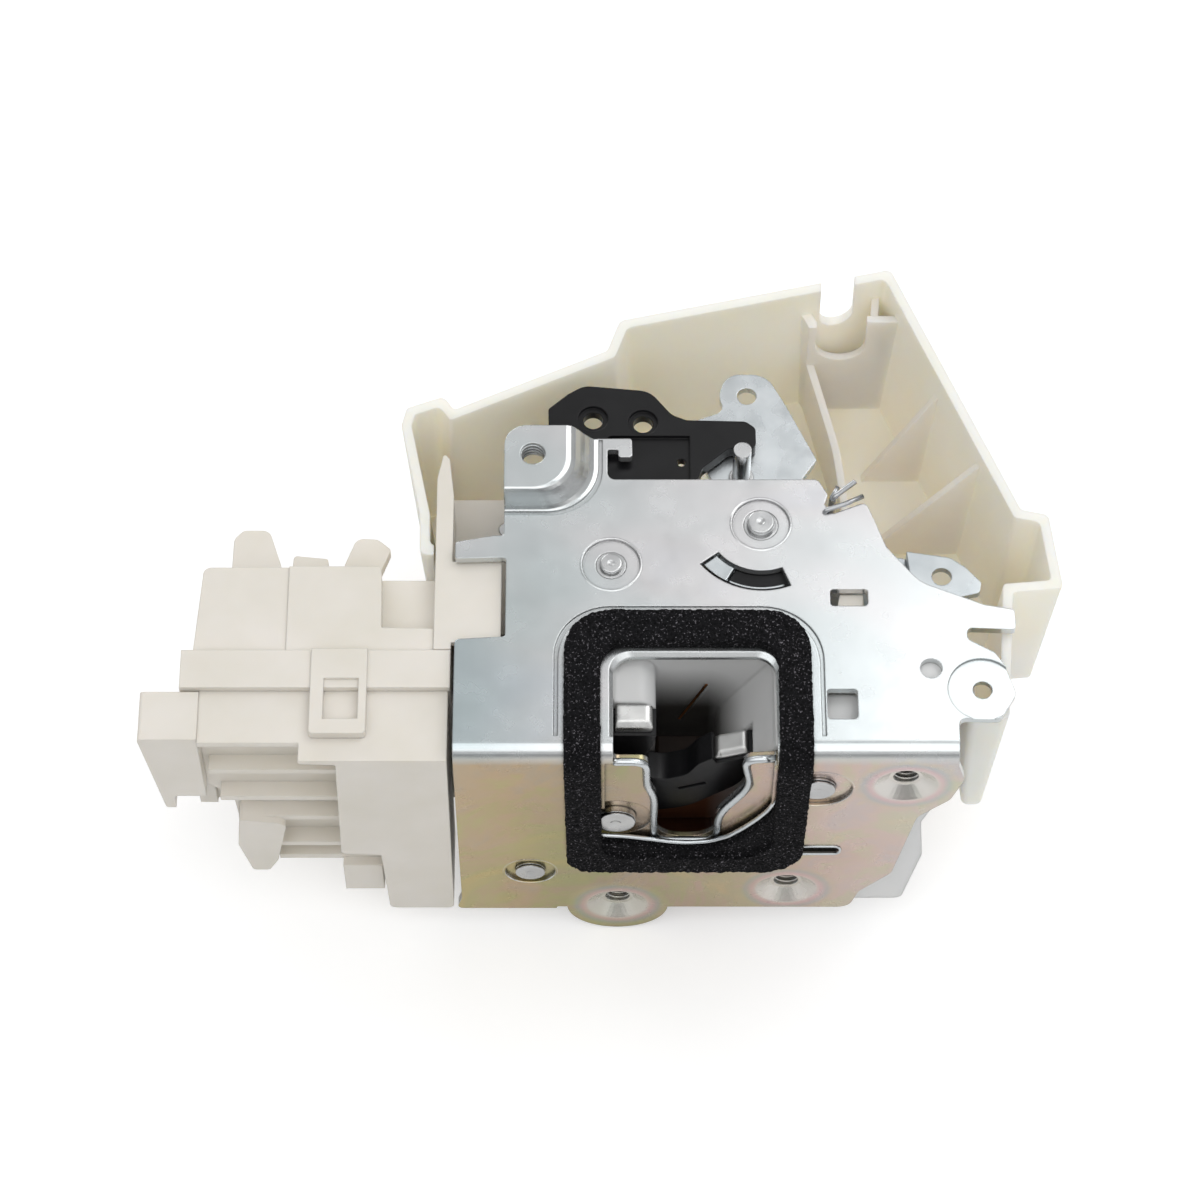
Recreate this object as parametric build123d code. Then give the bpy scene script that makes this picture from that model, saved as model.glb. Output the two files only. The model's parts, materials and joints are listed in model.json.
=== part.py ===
from build123d import *
import os
from math import cos, pi, radians, sin, tan

# Vehicle door latch with its power lock actuator, in millimetres.
# The origin is the mouth of the striker slot: X = 0 on the slot's centre line,
# Y = 0 on the outer face of the end plate and Z = 0 on the outer face of the
# inboard plate. +Y runs up the inboard plate, away from the bend, and +Z points
# out of that plate.

# Latch plate: one steel stamping, bent to an L
PLATE_T = 1.8
BEND_R = 3.6
BEND_CLEAR = BEND_R + PLATE_T + 0.1
PLATE_LEFT = -45.6
PLATE_RIGHT = 52.3
PLATE_TOP = 62.3
END_DEPTH = 68.2
EAR_R = 10.4

# Striker slot in the end plate and the opening in the inboard plate
SLOT_HALF = 6.0
SLOT_DEPTH = 39.4
SLOT_LIP_Z = -5.2
OPENING_LEFT = -14.6
OPENING_RIGHT = 17.2
OPENING_TOP = 22.0
OPENING_R = 4.2
DISH_DEPTH = 1.5
DISH_MARGIN = 2.0

# Threaded fixings, M6: the wall radius is the thread's core
THREAD_R = 2.5
COLLAR_R = 4.2
DIMPLE_R = 6.3
DIMPLE_DEPTH = 2.0
FIXING_DEPTH = 6.0
FIXINGS_XZ = [(-13.5, 1.7 - END_DEPTH), (42.7, -12.9), (21.1, 9.2 - END_DEPTH)]

# Raised corner of the inboard plate, with its own threaded hole
BOSS_RISE = 5.5
BOSS_LEFT = -36.2
BOSS_TOP = 71.7
BOSS_FOOT_RIGHT = -17.4
BOSS_FOOT_LOW = 54.8
BOSS_CROWN_RIGHT = -23.8
BOSS_CROWN_LOW = 57.2
BOSS_FOOT_R = 10.5
BOSS_CROWN_R = 7.0
BOSS_STEPS = 7
BOSS_HOLE_XY = (-30.5, 65.0)
BOSS_COLLAR_DEPTH = 4.5

# Foam seal stuck on the plate round the slot
FOAM_T = 3.0
FOAM_LEFT = -24.3
FOAM_RIGHT = 24.2
FOAM_TOP = 31.0
FOAM_BOTTOM = -46.2
FOAM_INNER_LEFT = -16.9
FOAM_INNER_RIGHT = 17.4
FOAM_INNER_TOP = 23.4
FOAM_INNER_BOTTOM = -39.6

# Claw and pawl, which turn about pins along Y inside the latch body
FIT = 0.05
GAP = 0.3
CLAW_PIVOT = (-14.0, -29.5)
CLAW_NEAR = 7.6
CLAW_T = 4.5
CLAW_HUB_R = 8.6
CLAW_REACH = 30.9
CLAW_TRAVEL = 65.0
COVER_T = 0.7
CLAW_PIN_R = 4.0
PAWL_PIVOT = (25.4, -14.4)
PAWL_HUB_R = 7.4
PAWL_PIN_R = 3.6
PAWL_TRAVEL = 8.0
RIVET_XZ = (-31.3, 17.4 - END_DEPTH)
RIVET_R = 3.0

# Torsion springs in pockets behind the claw and the pawl
CLAW_SPRING_R = 5.2
CLAW_SPRING_WIRE = 0.7
CLAW_SPRING_FAR = 18.0
PAWL_SPRING_R = 4.9
PAWL_SPRING_WIRE = 0.6
PAWL_SPRING_FAR = 17.2

# Moulded latch body behind the end plate
BODY_BACK = 26.0
CHAMBER_BACK = 13.2
FUNNEL_BACK = 23.0
BACK_PLATE_T = 1.8

# Lever pins along Z, riveted in the inboard plate
PIN_LEFT = (-14.9, 42.6)
PIN_RIGHT = (14.9, 51.9)
PIN_SIDE = (38.0, 33.6)
PIN_HEAD_DISC_R = 5.75
PIN_LEFT_R = 3.0
PIN_RIGHT_R = 3.4
RECESS = 0.5
LEVER_T = 1.6
BLACK_LEVER_T = 3.0
LEVER_TOP = -2.4
BLACK_LEVER_TOP = -2.4
RELEASE_TOP = -6.0
OUTSIDE_TOP = -9.6
BASE_TOP = -14.0
BASE_T = 2.5
ARC_R_IN = 10.7
ARC_R_OUT = 15.3
ARC_START = -143.0
ARC_END = -68.0
TAB_WIDTH_DEG = 22.0

# Actuator housing at the left end
CASE_LEFT = -97.0
CASE_RIGHT = -46.4
CASE_TOP = -3.2
CASE_FRONT = 0.6
SPLIT_Y = 17.0
COVER_FAR = 44.0
COVER_FLOOR = -50.0
RECESS_TOP = -7.2
WALL = 2.0
SKIRT_T = 1.6
SKIRT_NEAR = 16.0
SKIRT_FAR = 24.4

# Drive train inside the housing
MOTOR_Y = 20.0
MOTOR_Z = -18.0
MOTOR_R = 10.0
MOTOR_FLAT = 7.8
MOTOR_WALL = 0.8
MOTOR_NEAR = -92.0
MOTOR_FAR = -73.0
MOTOR_CAP_T = 2.4
SHAFT_R = 1.0
ARMATURE_R = 6.2
WORM_R = 3.4
WORM_NEAR = -69.0
WORM_FAR = -56.0
WORM_PITCH = 2.7
WHEEL_R = 8.6
WHEEL_TEETH = 20
WHEEL_X = -61.8
WHEEL_Y = MOTOR_Y + WORM_R + GAP + WHEEL_R
WHEEL_T = 5.0
AXLE_R = 1.5
LINK_Y = 34.6
LOCK_TRAVEL = 34.0
LOCK_ARM = PIN_RIGHT[1] - LINK_Y
LINK_HALF_STROKE = LOCK_ARM * tan(radians(LOCK_TRAVEL / 2))
LINK_TOP = -10.6
LINK_T = 2.0
LINK_WIDTH = 4.0
LINK_SLACK = 0.6
CRANK_R = 7.0
CRANK_PIN_R = 1.4

# Cream protective shell, an open tray
SHELL_RIM = -3.0
SHELL_FLOOR = -43.0
SHELL_WALL = 2.0
SHELL_DRAFT = 3.0


def block(x0, x1, y0, y1, z0, z1):
    """A box between two corners."""
    centre = Pos((x0 + x1) / 2, (y0 + y1) / 2, (z0 + z1) / 2)
    return centre * Box(abs(x1 - x0), abs(y1 - y0), abs(z1 - z0))


def outline(corners):
    """A closed face through (x, y, radius) corners, rounded where a radius is given."""
    points = [Vector(c[0], c[1]) for c in corners]
    edges = []
    last = None
    first = None
    for i, corner in enumerate(corners):
        here = points[i]
        back = points[i - 1] - here
        ahead = points[(i + 1) % len(points)] - here
        radius = corner[2] if len(corner) > 2 else 0.0
        start, end = here, here
        if radius > 0:
            half = radians(back.get_angle(ahead)) / 2
            run = min(radius / tan(half), 0.48 * min(back.length, ahead.length))
            start = here + back.normalized() * run
            end = here + ahead.normalized() * run
            bisector = (back.normalized() + ahead.normalized()).normalized()
            middle = here + bisector * (run / cos(half) - run * tan(half))
            edges.append(ThreePointArc(start, middle, end))
        if last is not None:
            edges.append(Line(last, start))
        else:
            first = start
        last = end
    edges.append(Line(last, first))
    return make_face(edges)


def shrink(corners, distance):
    """Outline corners moved inward so that each edge keeps its direction."""
    points = [Vector(c[0], c[1]) for c in corners]
    area = sum(points[i - 1].X * p.Y - p.X * points[i - 1].Y for i, p in enumerate(points))
    side = 1.0 if area > 0 else -1.0
    moved = []
    for i, corner in enumerate(corners):
        before = (points[i] - points[i - 1]).normalized()
        after = (points[(i + 1) % len(points)] - points[i]).normalized()
        normals = Vector(-before.Y - after.Y, before.X + after.X) * side
        share = distance / (1.0 + before.dot(after))
        place = points[i] + normals * share
        moved.append((place.X, place.Y) + tuple(corner[2:]))
    return moved


def plate_xy(sketch, low, high):
    """A sketch in X and Y, made solid between two heights Z."""
    return extrude(Plane.XY.offset(low) * sketch, high - low)


def plate_xz(sketch, near, far):
    """A sketch in X and Z, made solid between two depths Y."""
    return extrude(Plane.XZ.offset(-far) * sketch, far - near)


def plate_yz(sketch, low, high):
    """A sketch in Y and Z, made solid between two places X."""
    return extrude(Plane.YZ.offset(low) * sketch, high - low)


def rod_z(xy, r, low, high):
    return Pos(xy[0], xy[1], (low + high) / 2) * Cylinder(r, high - low)


def rod_y(xz, r, near, far):
    return Pos(xz[0], (near + far) / 2, xz[1]) * Rot(90, 0, 0) * Cylinder(r, far - near)


def rod_x(yz, r, low, high):
    return Pos((low + high) / 2, yz[0], yz[1]) * Rot(0, 90, 0) * Cylinder(r, high - low)


def cone_y(xz, r_near, r_far, near, far):
    """A cone along Y with its first radius at the near end."""
    turned = Rot(-90, 0, 0) * Cone(r_near, r_far, far - near)
    return Pos(xz[0], (near + far) / 2, xz[1]) * turned


def disc(xy, r):
    return Pos(xy[0], xy[1]) * Circle(r)


def polar(centre, r, degrees):
    return (centre[0] + r * cos(radians(degrees)), centre[1] + r * sin(radians(degrees)))


def bent_skin(left, right, outset, thickness):
    """An L-shaped skin that follows the plate's two faces and its bend."""
    reach = 110.0
    r_out = BEND_R + outset
    r_in = max(r_out - thickness, 0.2)
    outer = outline([
        (-outset, outset, r_out),
        (reach, outset),
        (reach, -reach),
        (-outset, -reach),
    ])
    inner_edge = thickness - outset
    inner = outline([
        (inner_edge, -inner_edge, r_in),
        (reach, -inner_edge),
        (reach, -reach),
        (inner_edge, -reach),
    ])
    return plate_yz(outer - inner, left, right)


def two_sided(skin, face_xy, face_xz, outset=0.0):
    """Keep a bent skin inside one outline per face."""
    inboard = plate_xy(face_xy, -(BEND_R + 2.0), outset + 1.0)
    end = plate_xz(face_xz, -(outset + 1.0), BEND_R + 2.0)
    return skin & (inboard + end)


# Steel latch plate

INBOARD_OUTLINE = [
    (PLATE_LEFT, -8.0),
    (PLATE_LEFT, 25.6, 1.0),
    (-35.7, 26.2, 0.5),
    (-35.7, 44.2, 0.8),
    (-45.8, 43.9, 0.6),
    (-45.8, 47.7, 0.6),
    (-38.0, 49.2, 0.8),
    (BOSS_LEFT, 49.2, 0.6),
    (BOSS_LEFT, BOSS_TOP, 4.5),
    (-10.7, BOSS_TOP + 0.3, 0.6),
    (-10.6, 67.6, 0.6),
    (-13.4, 67.6, 0.6),
    (-13.4, 69.4, 0.4),
    (-15.6, 69.4, 0.4),
    (-15.6, PLATE_TOP, 1.6),
    (26.5, PLATE_TOP, 1.5),
    (28.4, 58.6, 0.6),
    (27.6, 56.4, 0.5),
    (29.2, 54.2, 0.5),
    (35.9, 57.0, 1.2),
    (37.4, 53.0, 2.0),
    (39.6, 46.6, 5.0),
    (46.0, 38.6, 8.0),
    (58.4, 33.4, 2.0),
    (64.3, 32.3, 0.8),
    (64.4, 27.8, 0.8),
    (54.7, 28.2, 1.2),
    (54.8, 25.6, 1.2),
    (60.0, 22.6, 2.5),
    (62.0, 19.4, 2.0),
    (63.8, 13.6, 2.0),
    (60.4, 8.0, 1.2),
    (PLATE_RIGHT, 8.1, 1.5),
    (PLATE_RIGHT, -8.0),
]

END_OUTLINE = [
    (PLATE_LEFT, 8.0),
    (PLATE_LEFT, 4.8 - END_DEPTH, 3.0),
    (-46.8, -END_DEPTH, 1.2),
    (-26.0, -END_DEPTH, 0.3),
    (-26.0, 0.8 - END_DEPTH, 0.3),
    (34.3, 0.6 - END_DEPTH, 3.0),
    (36.1, 8.1 - END_DEPTH, 3.0),
    (42.2, 16.6 - END_DEPTH, 4.0),
    (45.7, -26.4, 5.0),
    (51.7, -19.0, 4.0),
    (53.9, -10.5, 4.0),
    (PLATE_RIGHT, -4.6, 1.5),
    (PLATE_RIGHT, 8.0),
]

LOBE_XY = (57.2, 14.5)


# Opening across the bend, then lips that lead down to the parallel slot
SLOT_OUTLINE = [
    (OPENING_LEFT, 8.0),
    (OPENING_LEFT, SLOT_LIP_Z - 0.8, 1.2),
    (-SLOT_HALF - 1.8, SLOT_LIP_Z - 0.8, 1.8),
    (-SLOT_HALF - 1.5, SLOT_LIP_Z - 10.6, 3.0),
    (-SLOT_HALF, SLOT_LIP_Z - 15.6, 5.0),
    (-SLOT_HALF, -SLOT_DEPTH, SLOT_HALF - 0.4),
    (SLOT_HALF, -SLOT_DEPTH, SLOT_HALF - 0.4),
    (SLOT_HALF, -28.5, 6.0),
    (SLOT_HALF + 6.0, SLOT_LIP_Z - 11.0, 3.0),
    (SLOT_HALF + 4.6, SLOT_LIP_Z, 2.2),
    (OPENING_RIGHT, SLOT_LIP_Z + 0.6, 1.2),
    (OPENING_RIGHT, 8.0),
]
OPENING_OUTLINE = [
    (OPENING_LEFT, -8.0),
    (OPENING_LEFT, OPENING_TOP, OPENING_R),
    (OPENING_RIGHT, OPENING_TOP, OPENING_R),
    (OPENING_RIGHT, -8.0),
]
EDGE_BEVEL = 1.2
EDGE_DEPTH = 0.8


def slot_bevel():
    """Pressed bevel along the front edge of the lips and the slot."""
    near = Plane.XZ.offset(-DISH_DEPTH) * outline(shrink(SLOT_OUTLINE, -EDGE_BEVEL))
    far = Plane.XZ.offset(-DISH_DEPTH - EDGE_DEPTH) * outline(SLOT_OUTLINE)
    return loft([near, far], ruled=True) & block(-40, 40, 0, 10, -60, SLOT_LIP_Z + 0.2)


def opening_bevel():
    """Rounded-over edge of the opening in the inboard plate."""
    top = outline(shrink(OPENING_OUTLINE, -EDGE_DEPTH))
    low = Plane.XY.offset(-EDGE_DEPTH) * outline(OPENING_OUTLINE)
    return loft([low, top], ruled=True) & block(-40, 40, BEND_R + 0.4, 60, -5, 5)


CREASE_OUTLINE = [
    (FOAM_LEFT - 1.8, -8.0),
    (FOAM_LEFT - 1.8, FOAM_TOP + 2.0, 11.0),
    (FOAM_RIGHT + 2.4, FOAM_TOP + 2.0, 12.0),
    (FOAM_RIGHT + 2.4, -8.0),
]
CREASE_WIDTH = 0.8
CREASE_DEPTH = 0.35


def dish_face(margin):
    """Region inside the seal that is pressed inward round the slot."""
    return outline([
        (FOAM_INNER_LEFT + 0.7 - margin, SLOT_LIP_Z + 1.4 + margin / 2),
        (FOAM_INNER_LEFT + 0.7 - margin, FOAM_INNER_BOTTOM - margin, 8.0),
        (FOAM_INNER_RIGHT - 0.7 + margin, FOAM_INNER_BOTTOM - margin, 8.0),
        (FOAM_INNER_RIGHT - 0.7 + margin, SLOT_LIP_Z + 1.4 + margin / 2),
    ])


def boss_corners(share):
    """Outline of the raised corner at a share of the way from its foot to its crown."""
    right = BOSS_FOOT_RIGHT + (BOSS_CROWN_RIGHT - BOSS_FOOT_RIGHT) * share
    low = BOSS_FOOT_LOW + (BOSS_CROWN_LOW - BOSS_FOOT_LOW) * share
    corner = BOSS_FOOT_R + (BOSS_CROWN_R - BOSS_FOOT_R) * share
    return [
        (BOSS_LEFT - 8, low),
        (right, low, corner),
        (right, BOSS_TOP + 8),
        (BOSS_LEFT - 8, BOSS_TOP + 8),
    ]


def raised_boss():
    """Solid under the raised corner: sections from foot to crown on a smooth curve."""
    sections = []
    for step in range(BOSS_STEPS + 1):
        share = step / BOSS_STEPS
        height = BOSS_RISE * (1 - cos(pi * share)) / 2
        sections.append(Plane.XY.offset(height) * outline(boss_corners(share)))
    return loft(sections, ruled=True)


def make_latch_plate():
    skin = bent_skin(PLATE_LEFT - 3, LOBE_XY[0] + 9, 0.0, PLATE_T)
    ear = disc((FIXINGS_XZ[0][0], FIXINGS_XZ[0][1] - 0.3), EAR_R)
    plate = two_sided(skin, outline(INBOARD_OUTLINE), outline(END_OUTLINE) + ear)

    # Pressed-in area round the slot, then the slot and the opening
    plate += plate_xz(dish_face(DISH_MARGIN), PLATE_T, PLATE_T + DISH_DEPTH)
    plate -= plate_xz(dish_face(0.0), -1.0, DISH_DEPTH)
    plate -= plate_xz(outline(SLOT_OUTLINE), -1.0, PLATE_T + DISH_DEPTH + 1.0)
    plate -= plate_xy(outline(OPENING_OUTLINE), SLOT_LIP_Z + 1.0, 1.0)
    plate -= slot_bevel()
    plate -= opening_bevel()

    # Fine crease pressed round the seal
    crease = outline(CREASE_OUTLINE) - outline(shrink(CREASE_OUTLINE, CREASE_WIDTH))
    crease &= Pos(0, 30.0) * Rectangle(80.0, 2 * (30.0 - BEND_R - 0.6))
    plate -= plate_xy(crease, -CREASE_DEPTH, 1.0)

    # Raised corner
    plan = outline([
        (BOSS_LEFT, BOSS_FOOT_LOW - 2),
        (BOSS_LEFT, BOSS_TOP, 4.5),
        (BOSS_FOOT_RIGHT + 2, BOSS_TOP),
        (BOSS_FOOT_RIGHT + 2, BOSS_FOOT_LOW - 2),
    ])
    solid = raised_boss()
    foot = outline(boss_corners(0.0))
    rim = outline(shrink(boss_corners(0.0), -CREASE_WIDTH)) - foot
    plate -= plate_xy(rim & plan, -CREASE_DEPTH, 1.0)
    hollow = Pos(-1.3, 1.0, -PLATE_T) * raised_boss()
    plate += solid & plate_xy(plan, 0.0, BOSS_RISE)
    plate -= hollow & block(-60, 0, 40, 90, -PLATE_T - 1, BOSS_RISE)
    plate += rod_z(BOSS_HOLE_XY, COLLAR_R, BOSS_RISE - BOSS_COLLAR_DEPTH, BOSS_RISE)
    plate -= rod_z(BOSS_HOLE_XY, THREAD_R, -3.0, BOSS_RISE + 1)

    # Conical dimples with extruded, threaded collars
    for xz in FIXINGS_XZ:
        plate += cone_y(xz, DIMPLE_R + 1.2, COLLAR_R + 0.4, PLATE_T - 0.2, PLATE_T + DIMPLE_DEPTH)
        plate += rod_y(xz, COLLAR_R, PLATE_T, FIXING_DEPTH)
        plate -= cone_y(xz, DIMPLE_R, THREAD_R + 0.8, 0.0, DIMPLE_DEPTH)
        plate -= rod_y(xz, THREAD_R, -1.0, FIXING_DEPTH + 1)

    # Pin and rivet seats on the end face
    plate -= rod_y(CLAW_PIVOT, 7.2, -1.0, DISH_DEPTH + 0.6)
    plate -= rod_y(CLAW_PIVOT, CLAW_PIN_R + FIT, -1.0, 6.0)
    plate -= rod_y(PAWL_PIVOT, 7.0, -1.0, RECESS + 0.2)
    plate -= rod_y(PAWL_PIVOT, PAWL_PIN_R + FIT, -1.0, 6.0)
    plate -= rod_y(RIVET_XZ, 5.2, -1.0, RECESS + 0.2)
    plate -= rod_y(RIVET_XZ, RIVET_R + FIT, -1.0, 6.0)
    plate -= plate_xz(Pos(26.6, -41.0) * SlotOverall(9.2, 1.6), -1.0, 0.6)

    # Round discs pressed round the lever pins, the arc slot and the windows
    for xy, r in ((PIN_LEFT, PIN_LEFT_R), (PIN_RIGHT, PIN_RIGHT_R)):
        plate -= rod_z(xy, PIN_HEAD_DISC_R, -RECESS, 1.0)
        plate -= rod_z(xy, r + FIT, -3.0, 1.0)
    middle = (ARC_R_IN + ARC_R_OUT) / 2
    track = CenterArc(PIN_RIGHT, middle, ARC_START, ARC_END - ARC_START)
    ring = disc(PIN_RIGHT, ARC_R_OUT) - disc(PIN_RIGHT, ARC_R_IN)
    wedge = make_face(Polyline(
        PIN_RIGHT,
        polar(PIN_RIGHT, 30, ARC_START),
        polar(PIN_RIGHT, 30, (ARC_START + ARC_END) / 2),
        polar(PIN_RIGHT, 30, ARC_END),
        close=True,
    ))
    plate -= plate_xy(ring & wedge, -3.0, 1.0)
    plate -= plate_xy(Pos(31.9, 35.0) * RectangleRounded(7.4, 3.8, 0.7), -3.0, 1.0)
    plate -= plate_xy(Pos(29.9, 11.2) * RectangleRounded(5.9, 6.6, 0.7), -3.0, 1.0)
    plate -= rod_z((47.4, 19.1), 2.15, -3.0, 1.0)
    plate -= rod_z(LOBE_XY, 6.8, -RECESS, 1.0)
    plate -= rod_z(LOBE_XY, 1.9, -3.0, 1.0)
    return plate


def make_foam_seal():
    skin = bent_skin(FOAM_LEFT - 2, FOAM_RIGHT + 2, FOAM_T, FOAM_T)
    inboard = outline([
        (FOAM_LEFT, -8.0),
        (FOAM_LEFT, FOAM_TOP, 9.0),
        (FOAM_RIGHT, FOAM_TOP, 9.0),
        (FOAM_RIGHT, -8.0),
    ])
    inboard -= outline([
        (FOAM_INNER_LEFT, -8.0),
        (FOAM_INNER_LEFT, FOAM_INNER_TOP, 4.5),
        (FOAM_INNER_RIGHT, FOAM_INNER_TOP, 4.5),
        (FOAM_INNER_RIGHT, -8.0),
    ])
    end = outline([
        (FOAM_LEFT, 8.0),
        (FOAM_LEFT + 0.4, FOAM_BOTTOM, 6.0),
        (FOAM_RIGHT - 0.6, FOAM_BOTTOM, 9.0),
        (FOAM_RIGHT, 8.0),
    ])
    end -= outline([
        (FOAM_INNER_LEFT, 8.0),
        (FOAM_INNER_LEFT + 0.3, FOAM_INNER_BOTTOM, 5.0),
        (FOAM_INNER_RIGHT - 0.3, FOAM_INNER_BOTTOM, 8.0),
        (FOAM_INNER_RIGHT, 8.0),
    ])
    return two_sided(skin, inboard, end, FOAM_T)


# Claw, pawl and their pins

def claw_face():
    px, pz = CLAW_PIVOT
    arms = outline([
        (-14.0, -2.0, 0.8),
        (-6.7, -2.0, 1.2),
        (-7.6, -9.0, 10.0),
        (-10.4, -16.4, 2.0),
        (-9.6, -22.8, 3.5),
        (-4.4, -24.6, 4.5),
        (0.8, -22.2, 5.0),
        (3.0, -17.6, 3.0),
        (6.3, -14.5, 0.6),
        (11.6, -12.3, 0.8),
        (12.6, -16.0, 3.0),
        (9.6, -25.0, 9.0),
        (0.0, -34.4, 9.0),
        (px, pz - CLAW_HUB_R, 5.0),
        (px - 3.0, pz),
        (-19.0, -17.0, 8.0),
        (-14.6, -9.0, 8.0),
    ])
    return arms + disc(CLAW_PIVOT, CLAW_HUB_R)


def make_claw():
    claw = plate_xz(claw_face(), CLAW_NEAR, CLAW_NEAR + CLAW_T)
    claw -= Pos(-10.4, CLAW_NEAR, -2.0) * Rot(45, 0, 0) * Box(12.0, 1.4, 1.4)
    claw -= Pos(9.0, CLAW_NEAR, -13.4) * Rot(0, -22.5, 0) * Rot(45, 0, 0) * Box(5.6, 1.2, 1.2)
    return claw - rod_y(CLAW_PIVOT, CLAW_PIN_R + FIT, 0.0, 20.0)


def make_claw_cover():
    """Black sleeve moulded round the claw, open at the two working tips."""
    near = CLAW_NEAR - COVER_T
    far = CLAW_NEAR + CLAW_T + COVER_T
    sleeve = plate_xz(offset(claw_face(), 0.9), near, far)
    sleeve -= plate_xz(claw_face(), CLAW_NEAR, CLAW_NEAR + CLAW_T)
    sleeve -= block(-20, 0, 0, 20, -5.0, 2.0)
    tip = Pos(9.0, 10.0, -12.4) * Rot(0, -22, 0) * Box(9.0, 14.0, 5.2)
    sleeve -= tip
    sleeve -= rod_y(CLAW_PIVOT, CLAW_PIN_R + FIT, 0.0, 20.0)
    collar = rod_y(CLAW_PIVOT, CLAW_PIN_R + 2.2, PLATE_T + DISH_DEPTH + GAP, near)
    sleeve += collar - rod_y(CLAW_PIVOT, CLAW_PIN_R + FIT, 0.0, 20.0)
    slit = Pos(1.2, near, -26.2) * Rot(0, -24, 0) * Box(6.0, 1.2, 1.0)
    return sleeve - slit


def turn_about(xz, degrees):
    """Turn about an axis along Y through a pivot, positive as the right hand goes."""
    there = Pos(xz[0], 0, xz[1])
    back = Pos(-xz[0], 0, -xz[1])
    return there * Rot(0, degrees, 0) * back


def pawl_body(near, far, grow):
    """Strut from the pawl's pivot down to its nose, drawn where it engages."""
    px, pz = PAWL_PIVOT
    strut = outline([
        (px - PAWL_HUB_R - grow, pz),
        (px + 5.0 + grow, pz - 4.0),
        (19.6 + grow, -41.0 - grow, 2.0),
        (15.0, -45.6 - grow, 1.0),
        (9.9 - grow, -42.8, 0.6),
        (13.0 - grow, -33.0, 6.0),
    ])
    tail = outline([
        (px - 4.0 - grow, pz),
        (px - 2.6 - grow, -5.4 + grow, 1.2),
        (px + 2.2 + grow, -5.4 + grow, 1.2),
        (px + 6.0 + grow, pz, 2.0),
    ])
    face = strut + tail + disc(PAWL_PIVOT, PAWL_HUB_R + grow)
    engaged = plate_xz(face, near, far)
    lifted = turn_about(PAWL_PIVOT, -PAWL_TRAVEL) * engaged
    return lifted


def claw_clearance():
    """Swept reach of the claw, and its working face where the claw is shut."""
    sweep = rod_y(CLAW_PIVOT, CLAW_REACH + GAP, 0.0, 20.0)
    shut = turn_about(CLAW_PIVOT, CLAW_TRAVEL) * Pos(9.2, 10, -17.6 + GAP) * Rot(0, -22.5, 0)
    shut_face = shut * Box(14.0, 20.0, 8.6)
    return sweep + turn_about(PAWL_PIVOT, -PAWL_TRAVEL) * shut_face


def make_pawl():
    pawl = pawl_body(CLAW_NEAR, CLAW_NEAR + CLAW_T, 0.0)
    pawl -= claw_clearance()
    return pawl - rod_y(PAWL_PIVOT, PAWL_PIN_R + FIT, 0.0, 20.0)


def make_pawl_cover():
    near = CLAW_NEAR - COVER_T
    far = CLAW_NEAR + CLAW_T + COVER_T
    sleeve = pawl_body(near, far, 0.7) & block(10, 60, 0, 20, -30, -9.0)
    sleeve -= pawl_body(CLAW_NEAR, CLAW_NEAR + CLAW_T, 0.0)
    sleeve -= claw_clearance()
    collar = rod_y(PAWL_PIVOT, PAWL_PIN_R + 2.0, PLATE_T + GAP, near)
    return (sleeve + collar) - rod_y(PAWL_PIVOT, PAWL_PIN_R + FIT, 0.0, 20.0)


def headed_pin_y(xz, r, head_r, head_near, head_t, far):
    return rod_y(xz, r, head_near, far) + rod_y(xz, head_r, far, far + head_t)


def make_claw_pin():
    back = BODY_BACK + BACK_PLATE_T
    return headed_pin_y(CLAW_PIVOT, CLAW_PIN_R, CLAW_PIN_R + 1.5, 0.7, 1.2, back)


def make_pawl_pin():
    back = BODY_BACK + BACK_PLATE_T
    return headed_pin_y(PAWL_PIVOT, PAWL_PIN_R, PAWL_PIN_R + 1.5, 0.2, 1.2, back)


def make_body_rivet():
    back = BODY_BACK + BACK_PLATE_T
    return headed_pin_y(RIVET_XZ, RIVET_R, RIVET_R + 1.5, 0.2, 1.2, back)


# Moulded latch body and the plate behind it

BODY_OUTLINE = [
    (PLATE_LEFT + 0.9, -PLATE_T),
    (PLATE_LEFT + 0.9, 2.2 - END_DEPTH, 2.0),
    (36.9, 1.2 - END_DEPTH, 1.5),
    (45.2, 1.2 - END_DEPTH, 2.0),
    (48.2, 21.5 - END_DEPTH, 3.0),
    (47.0, -32.0, 4.0),
    (50.4, -20.0, 4.0),
    (50.8, -PLATE_T),
]


def funnel_face():
    return outline([
        (OPENING_LEFT + 0.2, 4.0),
        (OPENING_LEFT + 0.2, -3.2, 0.8),
        (-SLOT_HALF - 0.2, -3.4, 3.6),
        (-SLOT_HALF - 0.2, -SLOT_DEPTH, SLOT_HALF - 0.3),
        (SLOT_HALF + 0.2, -SLOT_DEPTH, SLOT_HALF - 0.3),
        (SLOT_HALF + 0.2, -24.0, 12.0),
        (OPENING_RIGHT - 0.4, -3.4, 5.0),
        (OPENING_RIGHT - 0.4, 4.0),
    ])


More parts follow.
